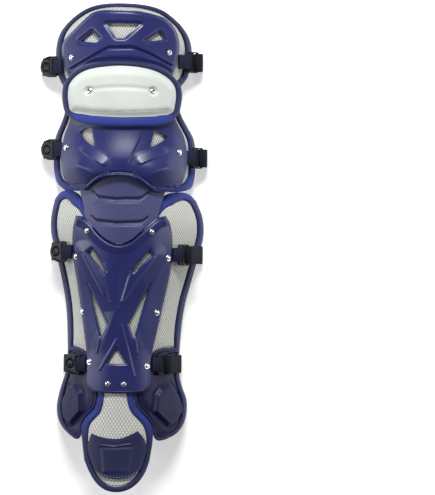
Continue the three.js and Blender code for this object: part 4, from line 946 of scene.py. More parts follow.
def thigh_relief(x, y):
    """Raised but for its crease and its rim, and flat against the pad under the padded bar."""
    from_crease = np.abs(y - np.interp(x, *np.array(THIGH_CREASE).T))
    within = smoothly(-70, -62, x) * (1 - smoothly(58, 66, x))
    raised = THIGH_RISE * (1 - within) + THIGH_RISE * smoothly(0, 2.8, from_crease) * within
    clear = smoothly(0, 7, away_from(flap_loop, x, y) - 1)
    rim = smoothly(0, 5, from_rim(thigh_plate_loop, x, y))
    return raised * clear * (0.35 + 0.65 * rim) + recess(x, y, thigh_windows, 4.5, 2.2)


thigh_plate = moulded("thigh_plate", thigh_plate_sides, 1.15, thigh_relief, thigh_windows)
declare(thigh_plate, "thigh_shell", navy_plastic)

# The knee cap: lifted off the pad towards a rolled lip, a nose between two cheeks, and two
# windows under the padded bar.
knee_windows = windows_in(
    KNEE_CAP_HALF, 0, KNEE_CAP_LENGTH,
    (1.6, [(-0.68, 0.76), (-0.59, 0.8), (-0.49, 0.8), (-0.41, 0.56), (-0.52, 0.6), (-0.64, 0.69)]),
    (1.6, [(0.45, 0.56), (0.49, 0.68), (0.53, 0.77), (0.59, 0.77), (0.74, 0.71), (0.67, 0.65),
           (0.54, 0.59)]))
knee_lip_line = run(knee_plate_sides["bottom"], 60)
NOSE = np.array([(-27.6, 84), (-20, 58), (-13, 41), (-11, 31), (6, 31), (15, 51), (23, 68), (28.6, 84)])
CHEEKS = [((-46.8, 33), (-31.2, 22)), ((51.5, 33), (34.3, 22))]
CHEEK_CREASES = [[(-52.7, 55.3), (-42.1, 47.6), (-28.9, 38.7), (-14.4, 29.8)],
                 [(59, 53.8), (48, 47.1), (30.5, 39), (16.9, 32.9)]]
CHEEK_PUFFS = [(-42, 33), (42, 30)]


def knee_relief(x, y):
    """A dome with cheeks and a nose, folded at the creases, down to a rolled lip."""
    along, across = y / KNEE_CAP_LENGTH, x / KNEE_CAP_HALF
    clear = smoothly(-6, 66, FLAP_FOOT - 1 - y)
    dome = (1 - np.minimum(1, across**2)**2) * smoothly(-0.1, 0.35, along)
    cheeks = np.max([crest(x, y, a, b, 26, 5) for a, b in CHEEKS], axis=0)
    raised_nose = 2.0 * (1 - smoothly(-0.7, 0.7, away_from(NOSE, x, y))) * smoothly(26, 44, y)
    folds = sum(sawtooth(x, y, line, 14, 3.0) for line in CHEEK_CREASES)
    puffed = sum(1.6 * np.exp(-(np.hypot((x - cx) / 1.3, y - cy) / 11)**2) for cx, cy in CHEEK_PUFFS)
    lip = from_rim(knee_lip_line, x, y)
    roll = 1.5 * np.exp(-((lip - 1.0) / 1.1)**2) - 1.3 * np.exp(-((lip - 4.0) / 1.3)**2)
    shape = 4.4 + 8 * dome + cheeks + raised_nose + folds + puffed
    return clear * shape + roll + clear * recess(x, y, knee_windows, 3.5, 2.4)


knee_plate = moulded("knee_cap", knee_plate_sides, 0.9, knee_relief, knee_windows)
declare(knee_plate, "knee_shell", navy_plastic)

# The shin plate: a cross of ridges between five windows, with a raised band along its notch.
shin_windows = windows_in(
    SHIN_PLATE_HALF, SHIN_FOOT, SHIN_LENGTH,
    (1.2, [(-0.64, 0.63), (-0.55, 0.655), (-0.26, 0.51), (-0.31, 0.5)]),
    (1.2, [(0.61, 0.655), (0.63, 0.615), (0.27, 0.505), (0.23, 0.515)]),
    (1.5, [(-0.63, 0.43), (-0.23, 0.19), (-0.34, 0.1)]),
    (1.5, [(0.61, 0.44), (0.2, 0.19), (0.31, 0.1)]),
    (1.5, [(-0.03, 0.04), (0.17, -0.06), (-0.23, -0.06)]))
SHIN_BEAMS = [
    ((-0.72, 0.63), (-0.44, 0.45)), ((-0.44, 0.45), (-0.05, 0.27)), ((0.7, 0.62), (0.46, 0.47)),
    ((0.46, 0.47), (-0.02, 0.27)), ((-0.28, 0.5), (-0.12, 0.32)), ((0.24, 0.5), (0.06, 0.32)),
    ((-0.05, 0.27), (-0.38, -0.02)), ((-0.38, -0.02), (-0.4, -0.17)), ((-0.03, 0.27), (0.34, 0)),
    ((0.34, 0), (0.34, -0.15)),
]
# Fine ridges: both ends, width and height
SHIN_RIDGES = [
    ((-45, -82), (-18.6, -132), 1.9, 1.7), ((-18.3, -108), (-10.1, -141.4), 1.8, 1.6),
    ((44.5, -83), (7.9, -139.7), 1.9, 1.7), ((13, -107.7), (4.4, -140), 1.8, 1.6),
    ((-23.3, -187.4), (-26.4, -205.5), 1.7, 1.4), ((20.5, -186.7), (23.5, -206), 1.7, 1.4),
    ((-1.7, -188.4), (-22.6, -227.6), 1.8, 1.2), ((4.2, -170.3), (20.5, -235.3), 1.8, 1.2),
]
shin_plate_loop = loop_of(finer(shin_plate_sides, 50, 80))
notch_line = run(shin_plate_sides["top"], 60)


def shin_relief(x, y):
    """Broad beams and fine ridges, a band under the notch and a bead round the foot."""
    along = (y - SHIN_FOOT) / SHIN_LENGTH
    side = np.abs(x) / SHIN_PLATE_HALF
    fade = smoothly(-0.1, 0.2, along) * (1 - smoothly(0.85, 1.05, side))
    ends = [sized(beam, SHIN_PLATE_HALF, SHIN_FOOT, SHIN_LENGTH) for beam in SHIN_BEAMS]
    beams = np.max([crest(x, y, a, b, 15, 1.9) for a, b in ends], axis=0)
    fine = np.max([crest(x, y, a, b, width, height) for a, b, width, height in SHIN_RIDGES], axis=0)
    notch = from_line(x, y, notch_line)
    band = 2.6 * np.clip((13 - notch) / 9, 0, 1) * smoothly(0, 2.5, notch) * (1 - smoothly(0.86, 1.0, side))
    edge = from_rim(shin_plate_loop, x, y)
    bead = 0.9 * np.exp(-((edge - 1.6) / 0.9)**2) * (1 - smoothly(-225, -205, y))
    shape = (1.0 + fade * beams + fine + band) * (0.2 + 0.8 * smoothly(0, 4, edge))
    return shape + bead + recess(x, y, shin_windows, 2.5, 1.2)


shin_plate = moulded("shin_plate", shin_plate_sides, 0.9, shin_relief, shin_windows)
declare(shin_plate, "shin_shell", navy_plastic)

# The flex panel: one softer moulding in three bands, tucked under the knee cap's lip and
# under the edge of the shin plate's notch, so that the guard bends at the knee.
FLEX_HALF, FLEX_TUCK, FLEX_WALL = 54, 29, 2.4
notch_points = [(x, y + 1.2) for x, y in shin_plate_sides["top"] if -0.84 * FLEX_HALF < x < 0.9 * FLEX_HALF]


def flex_side(*shares):
    return sized(shares, FLEX_HALF, 0, FLEX_TUCK)


flex_sides = {
    "bottom": run(notch_points, 8),
    "right": run(notch_points[-1:] + flex_side((0.93, -0.66), (1.04, 0.1), (0.98, 0.41)), 8),
    "top": run(flex_side((-0.93, 0.41), (0, 1), (0.98, 0.41)), 8),
    "left": run(notch_points[:1] + flex_side((-0.86, -0.69), (-0.95, 0.03), (-0.93, 0.41)), 8),
}
FLEX_PADS = [
    rounded([(-40, 40), (-39, 4), (-29, -6.4), (-6, -8.6), (25.5, -7.2), (37, 3), (40, 40)], 4),
    rounded([(-35, -19), (-30, -14.4), (23, -13.6), (34, -17.2), (37, -24.3), (34, -32.6), (26, -37.2),
             (-5.5, -38.6), (-30.5, -36), (-36, -31)], 4),
    rounded([(-34, -44), (30, -43.5), (26, -58), (-2, -74), (-30, -60)], 4),
]
FLEX_SEAMS = [[(-34.5, 0), (-28, -8), (-6, -11), (25.5, -10), (35, -1)],
              [(-35.5, -32.5), (-30.3, -38.6), (-5.5, -41.2), (26, -39.8), (34, -33)]]


def flex_relief(x, y):
    """Three raised bands with a furrow between each and the next."""
    pads = np.max([2.2 * (1 - smoothly(-1.4, 1.0, away_from(pad, x, y))) for pad in FLEX_PADS], axis=0)
    return 1.6 + pads + sum(groove(x, y, seam, 1.2, 1.9) for seam in FLEX_SEAMS)


flex_plastic = moulded_plastic("flex_plastic", (0.050, 0.052, 0.150, 1), (0.062, 0.065, 0.175, 1), 0.45)
flex = moulded("flex_panel_moulding", flex_sides, 0.9, flex_relief, wall=FLEX_WALL)
declare(flex, "flex_panel", flex_plastic)

# The toe cap: a thick moulded patch sewn to the toe pad, with a ridge across its top and a
# raised middle.
CAP_MIDDLE = rounded([(-20, -328.5), (21, -326.5), (15, -359), (-17, -359.5)], 3)
CAP_RIDGE = [((-22, -324.4), (-2, -325.7)), ((-2, -325.7), (18, -322.4))]
cap_loop = loop_of(finer(cap_sides, 40, 30))


def cap_relief(x, y):
    raised = 1 - smoothly(-3, 2, away_from(CAP_MIDDLE, x, y))
    ridge = np.max([crest(x, y, a, b, 1.4, 1.4) for a, b in CAP_RIDGE], axis=0)
    return (0.4 + raised + ridge) * smoothly(0, 4, from_rim(cap_loop, x, y))


cap_plastic = moulded_plastic("cap_plastic", (0.014, 0.017, 0.062, 1), (0.022, 0.025, 0.080, 1), 0.42, 0.3)
toe_cap = moulded("toe_cap_moulding", cap_sides, 0.8, cap_relief, wall=3, round_over=1.0)
declare(toe_cap, "toe_cap", cap_plastic)

# The rivets: domed chrome heads with a thin washer, through plate and pad. One head is drawn
# and set at each place, standing square to the plate there.
RIVET_RADIUS, FLAP_RIVET_RADIUS = 3.2, 3.9
chrome, chrome_tree, chrome_shader, add_to_chrome = node_graph("rivet_chrome")
chrome_place = add_to_chrome("ShaderNodeTexCoord")
chrome_wear = add_to_chrome("ShaderNodeTexNoise", Vector=chrome_place.outputs["Object"], Scale=500.0)
chrome_gloss = add_to_chrome("ShaderNodeMapRange", i0=chrome_wear.outputs["Fac"], To_Min=0.08, To_Max=0.24)
chrome_tree.links.new(chrome_gloss.outputs[0], chrome_shader.inputs["Roughness"])
chrome_shader.inputs["Base Color"].default_value = (0.80, 0.81, 0.83, 1)
chrome_shader.inputs["Metallic"].default_value = 1.0
PLATE_RIVETS = {
    "thigh": (thigh_relief, THIGH_HALF, THIGH_FOOT, THIGH_LENGTH, {
        "rivet_thigh_left": (-0.74, 0.4), "rivet_thigh_right": (0.66, 0.47)}),
    "knee": (knee_relief, KNEE_CAP_HALF, 0, KNEE_CAP_LENGTH, {
        "rivet_knee_left": (-0.89, 0.55), "rivet_knee_right": (0.92, 0.51)}),
    "shin": (shin_relief, SHIN_PLATE_HALF, SHIN_FOOT, SHIN_LENGTH, {
        "rivet_shin_top_left": (-0.65, 0.76), "rivet_shin_top_right": (0.62, 0.76),
        "rivet_shin_upper_left": (-0.87, 0.6), "rivet_shin_upper_right": (0.96, 0.6),
        "rivet_shin_middle_left": (-0.73, 0.26), "rivet_shin_middle_right": (0.75, 0.26),
        "rivet_shin_lower_left": (-0.57, -0.05), "rivet_shin_lower_right": (0.57, -0.07),
        "rivet_shin_foot_left": (-0.2, -0.185), "rivet_shin_foot_right": (0.12, -0.185)}),
}
# share of the radius, out from the line of the rivet and up
RIVET_PROFILE = [(1.12, -0.02), (1.16, 0.06), (1.1, 0.13), (0.96, 0.12), (0.93, 0.2), (0.9, 0.34),
                 (0.78, 0.48), (0.55, 0.57), (0.3, 0.61)]
RIVET_SIDES = 24


def tube_faces(rows, around):
    """The faces of a tube of rings, closed at both ends."""
    faces = []
    for row in range(rows - 1):
        for step in range(around):
            here, turn = row * around + step, row * around + (step + 1) % around
            faces.append((here, turn, turn + around, here + around))
    last = (rows - 1) * around
    return faces + [tuple(range(around))[::-1], tuple(range(last, last + around))]


def rivet_head(node, x, y, stand, level, radius):
    """A turned head: washer, waist and dome, round the line square to the surface."""
    here, right, ahead = (bend(x + dx, y + dy, stand(np.array(x + dx), np.array(y + dy)), level)
                          for dx, dy in ((0, 0), (1, 0), (0, 1)))
    out = Vector(right - here).cross(Vector(ahead - here)).normalized()
    turn = out.to_track_quat("Z", "Y")
    points = []
    for r, h in RIVET_PROFILE:
        for step in range(RIVET_SIDES):
            angle = 2 * math.pi * step / RIVET_SIDES
            local = Vector((r * math.cos(angle), r * math.sin(angle), h)) * radius * MM
            points.append(Vector(here) + turn @ local)
    head = new_piece(node + "_head", points, tube_faces(len(RIVET_PROFILE), RIVET_SIDES), sharp=50)
    declare(head, node, chrome)


for relief, half, foot, length, places in PLATE_RIVETS.values():
    def plate_top(x, y, relief=relief):
        return GAP + WALL + np.maximum(0, relief(x, y)) + 0.1
    for node, (x, y) in zip(places, sized(places.values(), half, foot, length)):
        rivet_head(node, x, y, plate_top, WALL, RIVET_RADIUS)


def dimple_foot(x, y):
    return FLAP_LEVEL + FLAP_THICK - EDGE_THICK - DIMPLE_DEPTH + 0.2 + 0 * x


for label, (x, y) in FLAP_RIVETS.items():
    rivet_head(f"rivet_flap_{label}", x, y, dimple_foot, FLAP_LEVEL, FLAP_RIVET_RADIUS)

# The sewing: rows of thread along the tapes, across the padded bar and at the foot of the toe
# cap, and the row of fine pips inside the knee cap's lip. A small node tree sets one rounded
# stitch at even steps along a line drawn on the finished surface.
def stitch_nodes():
    tree = bpy.data.node_groups.new("stitches_along_line", "GeometryNodeTree")
    tree.interface.new_socket("Line", in_out="INPUT", socket_type="NodeSocketGeometry")
    for name in ("Pitch", "Length", "Thickness"):
        tree.interface.new_socket(name, in_out="INPUT", socket_type="NodeSocketFloat")
    tree.interface.new_socket("Thread", in_out="INPUT", socket_type="NodeSocketMaterial")
    tree.interface.new_socket("Stitches", in_out="OUTPUT", socket_type="NodeSocketGeometry")
    made = {kind: tree.nodes.new(kind) for kind in (
        "NodeGroupInput", "NodeGroupOutput", "GeometryNodeMeshToCurve", "GeometryNodeResampleCurve",
        "GeometryNodeMeshUVSphere", "ShaderNodeCombineXYZ", "GeometryNodeTransform",
        "GeometryNodeInputTangent",
        "FunctionNodeAlignRotationToVector", "GeometryNodeInstanceOnPoints", "GeometryNodeRealizeInstances",
        "GeometryNodeSetMaterial")}
    given, result, curve, even, ball, size, shaped, tangent, turn, placed, real, paint = made.values()
    even.mode = "LENGTH"
    turn.axis = "X"
    ball.inputs["Segments"].default_value = 6
    ball.inputs["Rings"].default_value = 4
    ball.inputs["Radius"].default_value = 0.5
    for start, end in (
            (given.outputs["Line"], curve.inputs[0]), (curve.outputs[0], even.inputs["Curve"]),
            (given.outputs["Pitch"], even.inputs["Length"]), (given.outputs["Length"], size.inputs["X"]),
            (given.outputs["Thickness"], size.inputs["Y"]), (given.outputs["Thickness"], size.inputs["Z"]),
            (ball.outputs["Mesh"], shaped.inputs["Geometry"]), (size.outputs[0], shaped.inputs["Scale"]),
            (tangent.outputs[0], turn.inputs["Vector"]), (even.outputs[0], placed.inputs["Points"]),
            (shaped.outputs[0], placed.inputs["Instance"]), (turn.outputs[0], placed.inputs["Rotation"]),
            (placed.outputs[0], real.inputs[0]), (real.outputs[0], paint.inputs["Geometry"]),
            (given.outputs["Thread"], paint.inputs["Material"]), (paint.outputs[0], result.inputs[0])):
        tree.links.new(start, end)
    return tree


def sewn(name, on, line, node, thread, pitch=3.2, length=2.3, thickness=0.6, closed=False):
    """A row of stitches on a piece, under a line given seen from above."""
    skin = BVHTree.FromObject(on, bpy.context.evaluated_depsgraph_get())
    line = np.asarray(line, float)
    over = bend(line[:, 0], line[:, 1], 0.0 * line[:, 0])
    hits = [skin.ray_cast(Vector((x, y, 1)), Vector((0, 0, -1)))[0] for x, y, z in over]
    points = [hit + Vector((0, 0, thickness * 0.1 * MM)) for hit in hits if hit]
    edges = [(step, step + 1) for step in range(len(points) - 1)]
    if closed:
        edges.append((len(points) - 1, 0))
    data = bpy.data.meshes.new(name)
    data.from_pydata(points, edges, [])
    piece = in_scene(name, data)
    modifier = piece.modifiers.new("stitches", "NODES")
    modifier.node_group = STITCH_NODES
    values = {"Pitch": pitch * MM, "Length": length * MM, "Thickness": thickness * MM, "Thread": thread}
    for item in STITCH_NODES.interface.items_tree:
        if item.name in values:
            modifier[item.identifier] = values[item.name]
    graph = bpy.context.evaluated_depsgraph_get()
    stitches = bpy.data.meshes.new_from_object(piece.evaluated_get(graph), depsgraph=graph)
    piece.modifiers.clear()
    piece.data = stitches
    declare(piece, node)


def thread_cloth(name, colour, pale):
    """Spun thread: matt, with uneven dye."""
    material, tree, shader, add = node_graph(name)
    place = add("ShaderNodeTexCoord")
    dye = add("ShaderNodeTexNoise", Vector=place.outputs["Object"], Scale=300.0)
    tree.links.new(mix_colour(tree, add, dye.outputs["Fac"], colour, pale), shader.inputs["Base Color"])
    shader.inputs["Roughness"].default_value = 0.8
    return material


STITCH_NODES = stitch_nodes()
navy_thread = thread_cloth("navy_thread", (0.006, 0.010, 0.080, 1), (0.016, 0.026, 0.15, 1))
grey_thread = thread_cloth("grey_thread", (0.12, 0.13, 0.13, 1), (0.24, 0.25, 0.24, 1))
pale_thread = thread_cloth("pale_thread", (0.26, 0.28, 0.42, 1), (0.40, 0.42, 0.55, 1))
sewn("knee_flap_stitches", flap,
     [(-63, 101.5), (-45, 100.6), (-25, 100.4), (-4, 101.2), (16, 102.6), (38, 104.2), (58, 106)],
     "knee_flap", grey_thread, 3.6, 2.2, 0.9)
sewn("toe_cap_stitches", toe_cap, [(-22, -360), (-12, -363.6), (2.8, -365), (17.5, -362.6), (26, -358)],
     "toe_cap", pale_thread, 3.8, 2.6, 1.0)
for label, side in (("left", -1), ("right", 1)):
    along_lip = knee_lip_line[(knee_lip_line[:, 0] * side > 15) & (knee_lip_line[:, 0] * side < 44)]
    sewn(f"knee_lip_pips_{label}", knee_plate, along_lip + (0, 6.2), "knee_shell",
         pale_thread, 3.6, 1.2, 1.0)
for tape, sides, width, node in (
        (thigh_binding, thigh_sides, TAPE_WIDTH, "thigh_binding"),
        (knee_binding, knee_sides, knee_tape, "knee_binding"),
        (shin_binding, shin_sides, shin_tape, "shin_binding"),
        (toe_binding, toe_sides, toe_tape, "toe_binding"),
        (flap_binding, flap_sides, flap_tape, "knee_flap_binding")):
    seam = loop_of(finer(inset(sides, width, -1.2), 90, 90))
    sewn(node + "_stitches", tape, seam, node, navy_thread, 3.6, 2.5, 0.45, closed=True)

# The fittings on the edges. Each row has a short webbing tab on each side, folded round a
# bar: a plastic ring on one side, whose eye takes the strap's hook, and a slide on the other.
WEB, TAB_WIDTH, STRAP_WIDTH = 2.0, 18, 23
RING_LENGTH, RING_WIDTH, RING_THICK, BAR = 26, 27, 3.5, 2
EYE_RADIUS, SLIDE_SLOT, RING_RIM, HOOK_THICK, TURN_ROOM = 5.5, 6, 4.5, 2, 2.5
FOLD = math.hypot(BAR / 2, RING_THICK / 2) + 2 * GAP + WEB / 2
FIT_HALF = RING_WIDTH / 2
ankle_left, ankle_right = ankle_outline("left", -1), ankle_outline("right", 1)
STRAP_ROWS = {
    "thigh": dict(plate=thigh_plate_sides, left=(thigh_sides, THIGH_FOOT + 0.31 * THIGH_LENGTH, 4.5, 34),
                  right=(thigh_sides, THIGH_FOOT + 0.38 * THIGH_LENGTH, 9, 36)),
    "knee": dict(plate=knee_plate_sides, left=(knee_sides, KNEE_FOOT + 0.44 * KNEE_LENGTH, 5, 36),
                 right=(knee_sides, KNEE_FOOT + 0.37 * KNEE_LENGTH, 5.5, 38)),
    "shin": dict(plate=shin_plate_sides, left=(shin_sides, SHIN_FOOT + 0.63 * SHIN_LENGTH, 5.5, 38),
                 right=(shin_sides, SHIN_FOOT + 0.62 * SHIN_LENGTH, 5.5, 38)),
    "ankle": dict(plate=shin_plate_sides, left=(ankle_left, ANKLE_FOOT + 0.87 * ANKLE_LENGTH, 5.5, 36),
                  right=(ankle_right, ANKLE_FOOT + 0.88 * ANKLE_LENGTH, 6, 38)),
}


def edge_reach(points, side, y, half):
    """The farthest that an edge reaches out over a stretch along the guard."""
    reach = [side * px for px, py in points if abs(py - y) <= half]
    for line in (y - half, y, y + half):
        above = [i for i, (px, py) in enumerate(points) if py > line]
        if above and above[0] > 0:
            (ax, ay), (bx, by) = points[above[0] - 1], points[above[0]]
            reach.append(side * (ax + (bx - ax) * (line - ay) / (by - ay)))
    return max(reach)


def raw_bend(x, y, offset, level=None):
    """Across and up in mm, seen from the guard's end."""
    place = bend(x, y, offset, offset if level is None else level) / MM
    return np.array([float(place[0]) - FORM_ZERO[0], float(place[2])])


def surface(x, y, offset):
    """The highest that the form stands under a fitting's width."""
    return max(raw_bend(x, y + step, offset)[1] for step in (-FIT_HALF, 0, FIT_HALF))


class Seat:
    """Where a fitting sits: its bar's middle, the form's directions there and its own tilt."""

    def __init__(self, row, label):
        self.label, self.side = label, -1 if label == "left" else 1
        pad, self.y, reach, tip = row[label]
        self.plate_edge = edge_reach(row["plate"][label], self.side, self.y, FIT_HALF)
        self.bar_x = self.side * (self.plate_edge + reach)
        self.up = raw_bend(self.bar_x, self.y, 1, 0) - raw_bend(self.bar_x, self.y, 0)
        self.out = np.array([self.side * self.up[1], -self.side * self.up[0]])
        seat_level = surface(self.bar_x, self.y, 0)
        self.centre = np.array([self.bar_x, seat_level]) + self.up * (GAP + WEB / 2 + FOLD)
        tip = math.radians(tip)
        self.along = np.array([self.side * math.cos(tip), -math.sin(tip)])
        self.rise = np.array([self.side * math.sin(tip), math.cos(tip)])

    def at(self, u, v):
        return self.centre + self.along * u + self.rise * v

    def put(self, points):
        """Places of a fitting from its own lengthwise, crosswise and upward sizes."""
        p = np.asarray(points, float)
        flat = self.centre + p[:, :1] * self.along + p[:, 2:] * self.rise
        across, along = flat[:, 0] + FORM_ZERO[0], self.y + self.side * p[:, 1] + FORM_ZERO[1]
        return np.stack([across, along, flat[:, 1]], 1) * MM


def fold(centre, start, towards, steps=12):
    """Half a turn round a bar."""
    angles = np.linspace(0, math.pi, steps + 1)
    return [centre + FOLD * (math.cos(a) * start + math.sin(a) * towards) for a in angles]


def face_out(piece):
    """Every face of a closed piece turned outwards."""
    form = bmesh.new()
    form.from_mesh(piece.data)
    bmesh.ops.recalc_face_normals(form, faces=form.faces)
    form.to_mesh(piece.data)
    form.free()


def web(name, path, width, y_of, thickness=WEB):
    """A flat web swept along a path seen from the guard's end, its two edges rounded."""
    path = np.asarray(path, float)
    into = np.gradient(path, axis=0)
    into /= np.linalg.norm(into, axis=1)[:, None]
    up = np.stack([-into[:, 1], into[:, 0]], axis=1)
    half, rim = width / 2, thickness / 2
    section = [(-half + 0.55, rim), (0, rim * 1.04), (half - 0.55, rim), (half - 0.12, rim * 0.6), (half, 0),
               (half - 0.12, -rim * 0.6), (half - 0.55, -rim), (0, -rim * 1.04), (-half + 0.55, -rim),
               (-half + 0.12, -rim * 0.6), (-half, 0), (-half + 0.12, rim * 0.6)]
    points = []
    for place, normal in zip(path, up):
        for across, height in section:
            spot = place + normal * height
            points.append(((spot[0] + FORM_ZERO[0]) * MM, (y_of(place[0]) + across + FORM_ZERO[1]) * MM,
                           spot[1] * MM))
    n = len(section)
    piece = new_piece(name, points, tube_faces(len(path), n), sharp=60)
    face_out(piece)
    length = np.concatenate([[0], np.cumsum(np.linalg.norm(np.diff(path, axis=0), axis=1))])
    weave = piece.data.uv_layers.new(name="weave")
    for loop in piece.data.loops:
        step, corner = divmod(loop.vertex_index, n)
        weave.data[loop.index].uv = (length[step] * MM, section[corner][0] * MM)
    return piece


def ribbed_web(name, colour, pale, rib, along_ribs):
    """Webbing: ribs along it for a woven tab, ribs across it as well for covered elastic."""
    material, tree, shader, add = node_graph(name)
    weave = add("ShaderNodeUVMap")
    weave.uv_map = "weave"
    waves = []
    for across, up in ((0.0, 2 * math.pi / rib), (2 * math.pi / (rib * 0.8) * along_ribs, 0.0)):
        dot = add("ShaderNodeVectorMath", "DOT_PRODUCT", i0=weave.outputs[0], i1=(across, up, 0))
        waves.append(add("ShaderNodeMath", "COSINE", i0=dot.outputs["Value"]).outputs[0])
    both = add("ShaderNodeMath", "MULTIPLY", i0=waves[0], i1=waves[1])
    height = add("ShaderNodeMapRange", i0=both.outputs[0], From_Min=-1)
    place = add("ShaderNodeTexCoord")
    sheen_patches = add("ShaderNodeTexNoise", Vector=place.outputs["Object"], Scale=80.0, Detail=4.0)
    # Paler on the raised ribs, broken into patches by noise, and darker in the hollows: painted sheen on the
    # rib tops and painted shade between them.
    share = add("ShaderNodeMath", "MULTIPLY", i0=height.outputs[0], i1=sheen_patches.outputs["Fac"])
    tree.links.new(mix_colour(tree, add, share.outputs[0], colour, pale), shader.inputs["Base Color"])
    bump = add("ShaderNodeBump", Height=height.outputs[0], Strength=0.5, Distance=0.0004)
    tree.links.new(bump.outputs[0], shader.inputs["Normal"])
    shader.inputs["Roughness"].default_value = 0.75
    shader.inputs["Specular IOR Level"].default_value = 0.15
    return material


tab_webbing = ribbed_web("tab_webbing", (0.008, 0.010, 0.028, 1), (0.026, 0.030, 0.066, 1), 0.0022, 1.0)
black_elastic = ribbed_web("black_elastic", (0.004, 0.005, 0.010, 1), (0.014, 0.018, 0.028, 1), 0.0016, 1.0)
black_plastic = moulded_plastic("black_plastic", (0.004, 0.005, 0.008, 1), (0.007, 0.009, 0.015, 1), 0.32,
                                0.2)

SLOT_HALF, SLOT_END = TAB_WIDTH / 2 + 0.8, FOLD + WEB / 2 + GAP * 3
RING_END = RING_LENGTH - BAR / 2
RING_CURVE = RING_LENGTH * 0.38
EYE_AT = RING_END - EYE_RADIUS - RING_RIM
HOOK_TOP = -RING_THICK / 2 - GAP
STUD_RADIUS = EYE_RADIUS * 0.88
SLIDE_BAR = SLOT_END + BAR
SLIDE_END = SLIDE_BAR + SLIDE_SLOT + BAR


def stamped(name, outer, holes, low, high, seat, round_over=0.5, parts=()):
    """A flat fitting with holes, moulded through its thickness and rounded at every edge."""
    form = bmesh.new()
    edges = []
    for points in [outer] + holes:
        verts = [form.verts.new((u, v, low)) for u, v in points]
        edges += [form.edges.new(pair) for pair in zip(verts, verts[1:] + verts[:1])]
    bmesh.ops.triangle_fill(form, use_beauty=True, use_dissolve=True, edges=edges)
    raised = bmesh.ops.extrude_face_region(form, geom=list(form.faces))
    for vert in [g for g in raised["geom"] if isinstance(g, bmesh.types.BMVert)]:
        vert.co.z = high
    for centre, radius, foot, top in parts:
        made = bmesh.ops.create_cone(form, cap_ends=True, segments=32, radius1=radius, radius2=radius,
                                     depth=top - foot)
        for vert in made["verts"]:
            vert.co.x += centre
            vert.co.z += (foot + top) / 2
    bmesh.ops.recalc_face_normals(form, faces=form.faces)
    mesh = bpy.data.meshes.new(name)
    form.to_mesh(mesh)
    form.free()
    piece = in_scene(name, mesh)
    round_edges(piece, 50, round_over, 3)
    piece.data.vertices.foreach_set("co", seat.put(places_of(piece)).ravel())
    face_out(piece)
    shade(piece.data, 40)
    return piece


def ellipse(centre, across, up, steps=40, start=0.0, end=2 * math.pi):
    """Points along an ellipse, or along a part of one."""
    angles = np.linspace(start, end, steps + 1)
    if end - start >= 2 * math.pi:
        angles = angles[:-1]
    return [(centre + across * math.cos(a), up * math.sin(a)) for a in angles]


def slot_hole(start, end, half, corner=1.0):
    return [(start + corner, -half), (end - corner, -half), (end, -half + corner), (end, half - corner),
            (end - corner, half), (start + corner, half), (start, half - corner), (start, -half + corner)]


def cut_corners(start, end, half, corner=2.5, cut=0.7):
    """A rectangle whose corners are cut off in two steps."""
    return [(start, -half + corner), (start + cut, -half + cut), (start + corner, -half),
            (end - corner, -half), (end - cut, -half + cut), (end, -half + corner),
            (end, half - corner), (end - cut, half - cut), (end - corner, half),
            (start + corner, half), (start + cut, half - cut), (start, half - corner)]


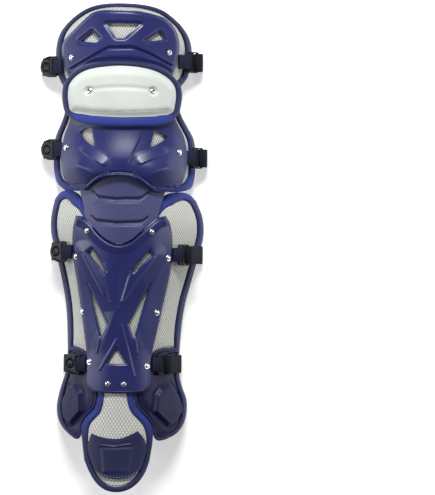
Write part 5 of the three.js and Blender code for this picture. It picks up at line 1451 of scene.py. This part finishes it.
for label, row in STRAP_ROWS.items():
    left, right = Seat(row, "left"), Seat(row, "right")
    for seat in (left, right):
        inner = seat.side * (seat.plate_edge + 2 * GAP)
        lower = [np.array([x, surface(x, seat.y, GAP + WEB / 2)])
                 for x in (inner + share * (seat.bar_x - inner) for share in (0, 0.5))]
        back_x = inner + seat.side * 1.2
        back = np.array([back_x, surface(back_x, seat.y, 2 * GAP + WEB * 1.7)])
        path = lower + fold(seat.centre, -seat.up, seat.out) + [back]
        tab = web(f"tab_{label}_{seat.label}_webbing", path, TAB_WIDTH, lambda x, seat=seat: seat.y)
        declare(tab, f"tab_{label}_{seat.label}", tab_webbing)
    nose = ellipse(RING_CURVE, RING_END - RING_CURVE, FIT_HALF, 28, -math.pi / 2, math.pi / 2)
    ring_outer = ([(-BAR / 2, -FIT_HALF + 3), (BAR / 2, -FIT_HALF)] + nose
                  + [(BAR / 2, FIT_HALF), (-BAR / 2, FIT_HALF - 3)])
    eye = ellipse(EYE_AT, EYE_RADIUS, EYE_RADIUS, 32)
    ring = stamped(f"ring_{label}_moulding", ring_outer, [slot_hole(BAR / 2, SLOT_END, SLOT_HALF), eye],
                   -RING_THICK / 2, RING_THICK / 2, left, 0.9)
    declare(ring, f"ring_{label}", black_plastic)
    hook = stamped(f"hook_{label}_moulding", ellipse(EYE_AT, EYE_RADIUS + 2.6, EYE_RADIUS + 3.4, 36), [],
                   HOOK_TOP - HOOK_THICK, HOOK_TOP, left, 0.5,
                   parts=[(EYE_AT, STUD_RADIUS, HOOK_TOP - 0.8, HOOK_TOP + RING_THICK + GAP)])
    declare(hook, f"hook_{label}", black_plastic)
    slots = [slot_hole(BAR / 2, SLOT_END, SLOT_HALF),
             slot_hole(SLIDE_BAR, SLIDE_BAR + SLIDE_SLOT, STRAP_WIDTH / 2 + 0.6)]
    slide = stamped(f"slide_{label}_moulding", cut_corners(-BAR / 2, SLIDE_END, FIT_HALF), slots,
                    -RING_THICK / 2, RING_THICK / 2, right, 0.7)
    declare(slide, f"slide_{label}", black_plastic)

    # The strap: covered elastic, whole from its fold in the slide round the back to its hook
    base = WEB / 2
    fold_at = SLIDE_END - BAR / 2
    turn = fold(right.at(fold_at, 0), -right.rise, -right.along)
    over = right.at(fold_at + FOLD, FOLD * 0.8)
    right_pad, left_pad = row["right"][0]["right"], row["left"][0]["left"]
    right_edge = edge_reach(right_pad, 1, right.y, STRAP_WIDTH / 2) + TURN_ROOM
    wing = [np.array([x, surface(x, right.y, GAP + WEB)]) for x in np.arange(over[0] + 4, right_edge - 5, 6)]
    right_turn = max(right_edge, over[0] + 1.6)
    right_drop = min((wing[-1] if wing else over)[1] - 4,
                     raw_bend(right_edge - TURN_ROOM, right.y, 0)[1] + 3)
    hook_v = HOOK_TOP - HOOK_THICK - GAP - WEB / 2
    hook_inner, hook_outer = left.at(EYE_AT - EYE_RADIUS, hook_v), left.at(EYE_AT + EYE_RADIUS + 1.5, hook_v)
    left_edge = edge_reach(left_pad, -1, left.y, STRAP_WIDTH / 2) + TURN_ROOM
    left_turn = max(left_edge, -hook_outer[0] + 2.4)
    left_drop = min(hook_outer[1] - 2.4, raw_bend(-left_edge + TURN_ROOM, left.y, 0)[1] + 3)
    path = turn + [over] + wing + [np.array(place) for place in (
        (right_turn, right_drop), (right_turn, base + 2.4), (right_turn - 0.7, base + 0.7),
        (right_turn - 2.4, base), (-left_turn + 2.4, base), (-left_turn + 0.7, base + 0.7),
        (-left_turn, base + 2.4))]
    if left_drop > base + 3.4:
        path.append(np.array([-left_turn, left_drop]))
    path += [hook_outer, hook_inner]

    def strap_line(x, left=left, right=right, left_turn=left_turn, right_turn=right_turn):
        return float(np.interp(x, [-left_turn + 2.4, right_turn - 2.4], [left.y, right.y]))
    strap = web(f"strap_{label}_elastic", path, STRAP_WIDTH, strap_line)
    declare(strap, f"strap_{label}", black_elastic)
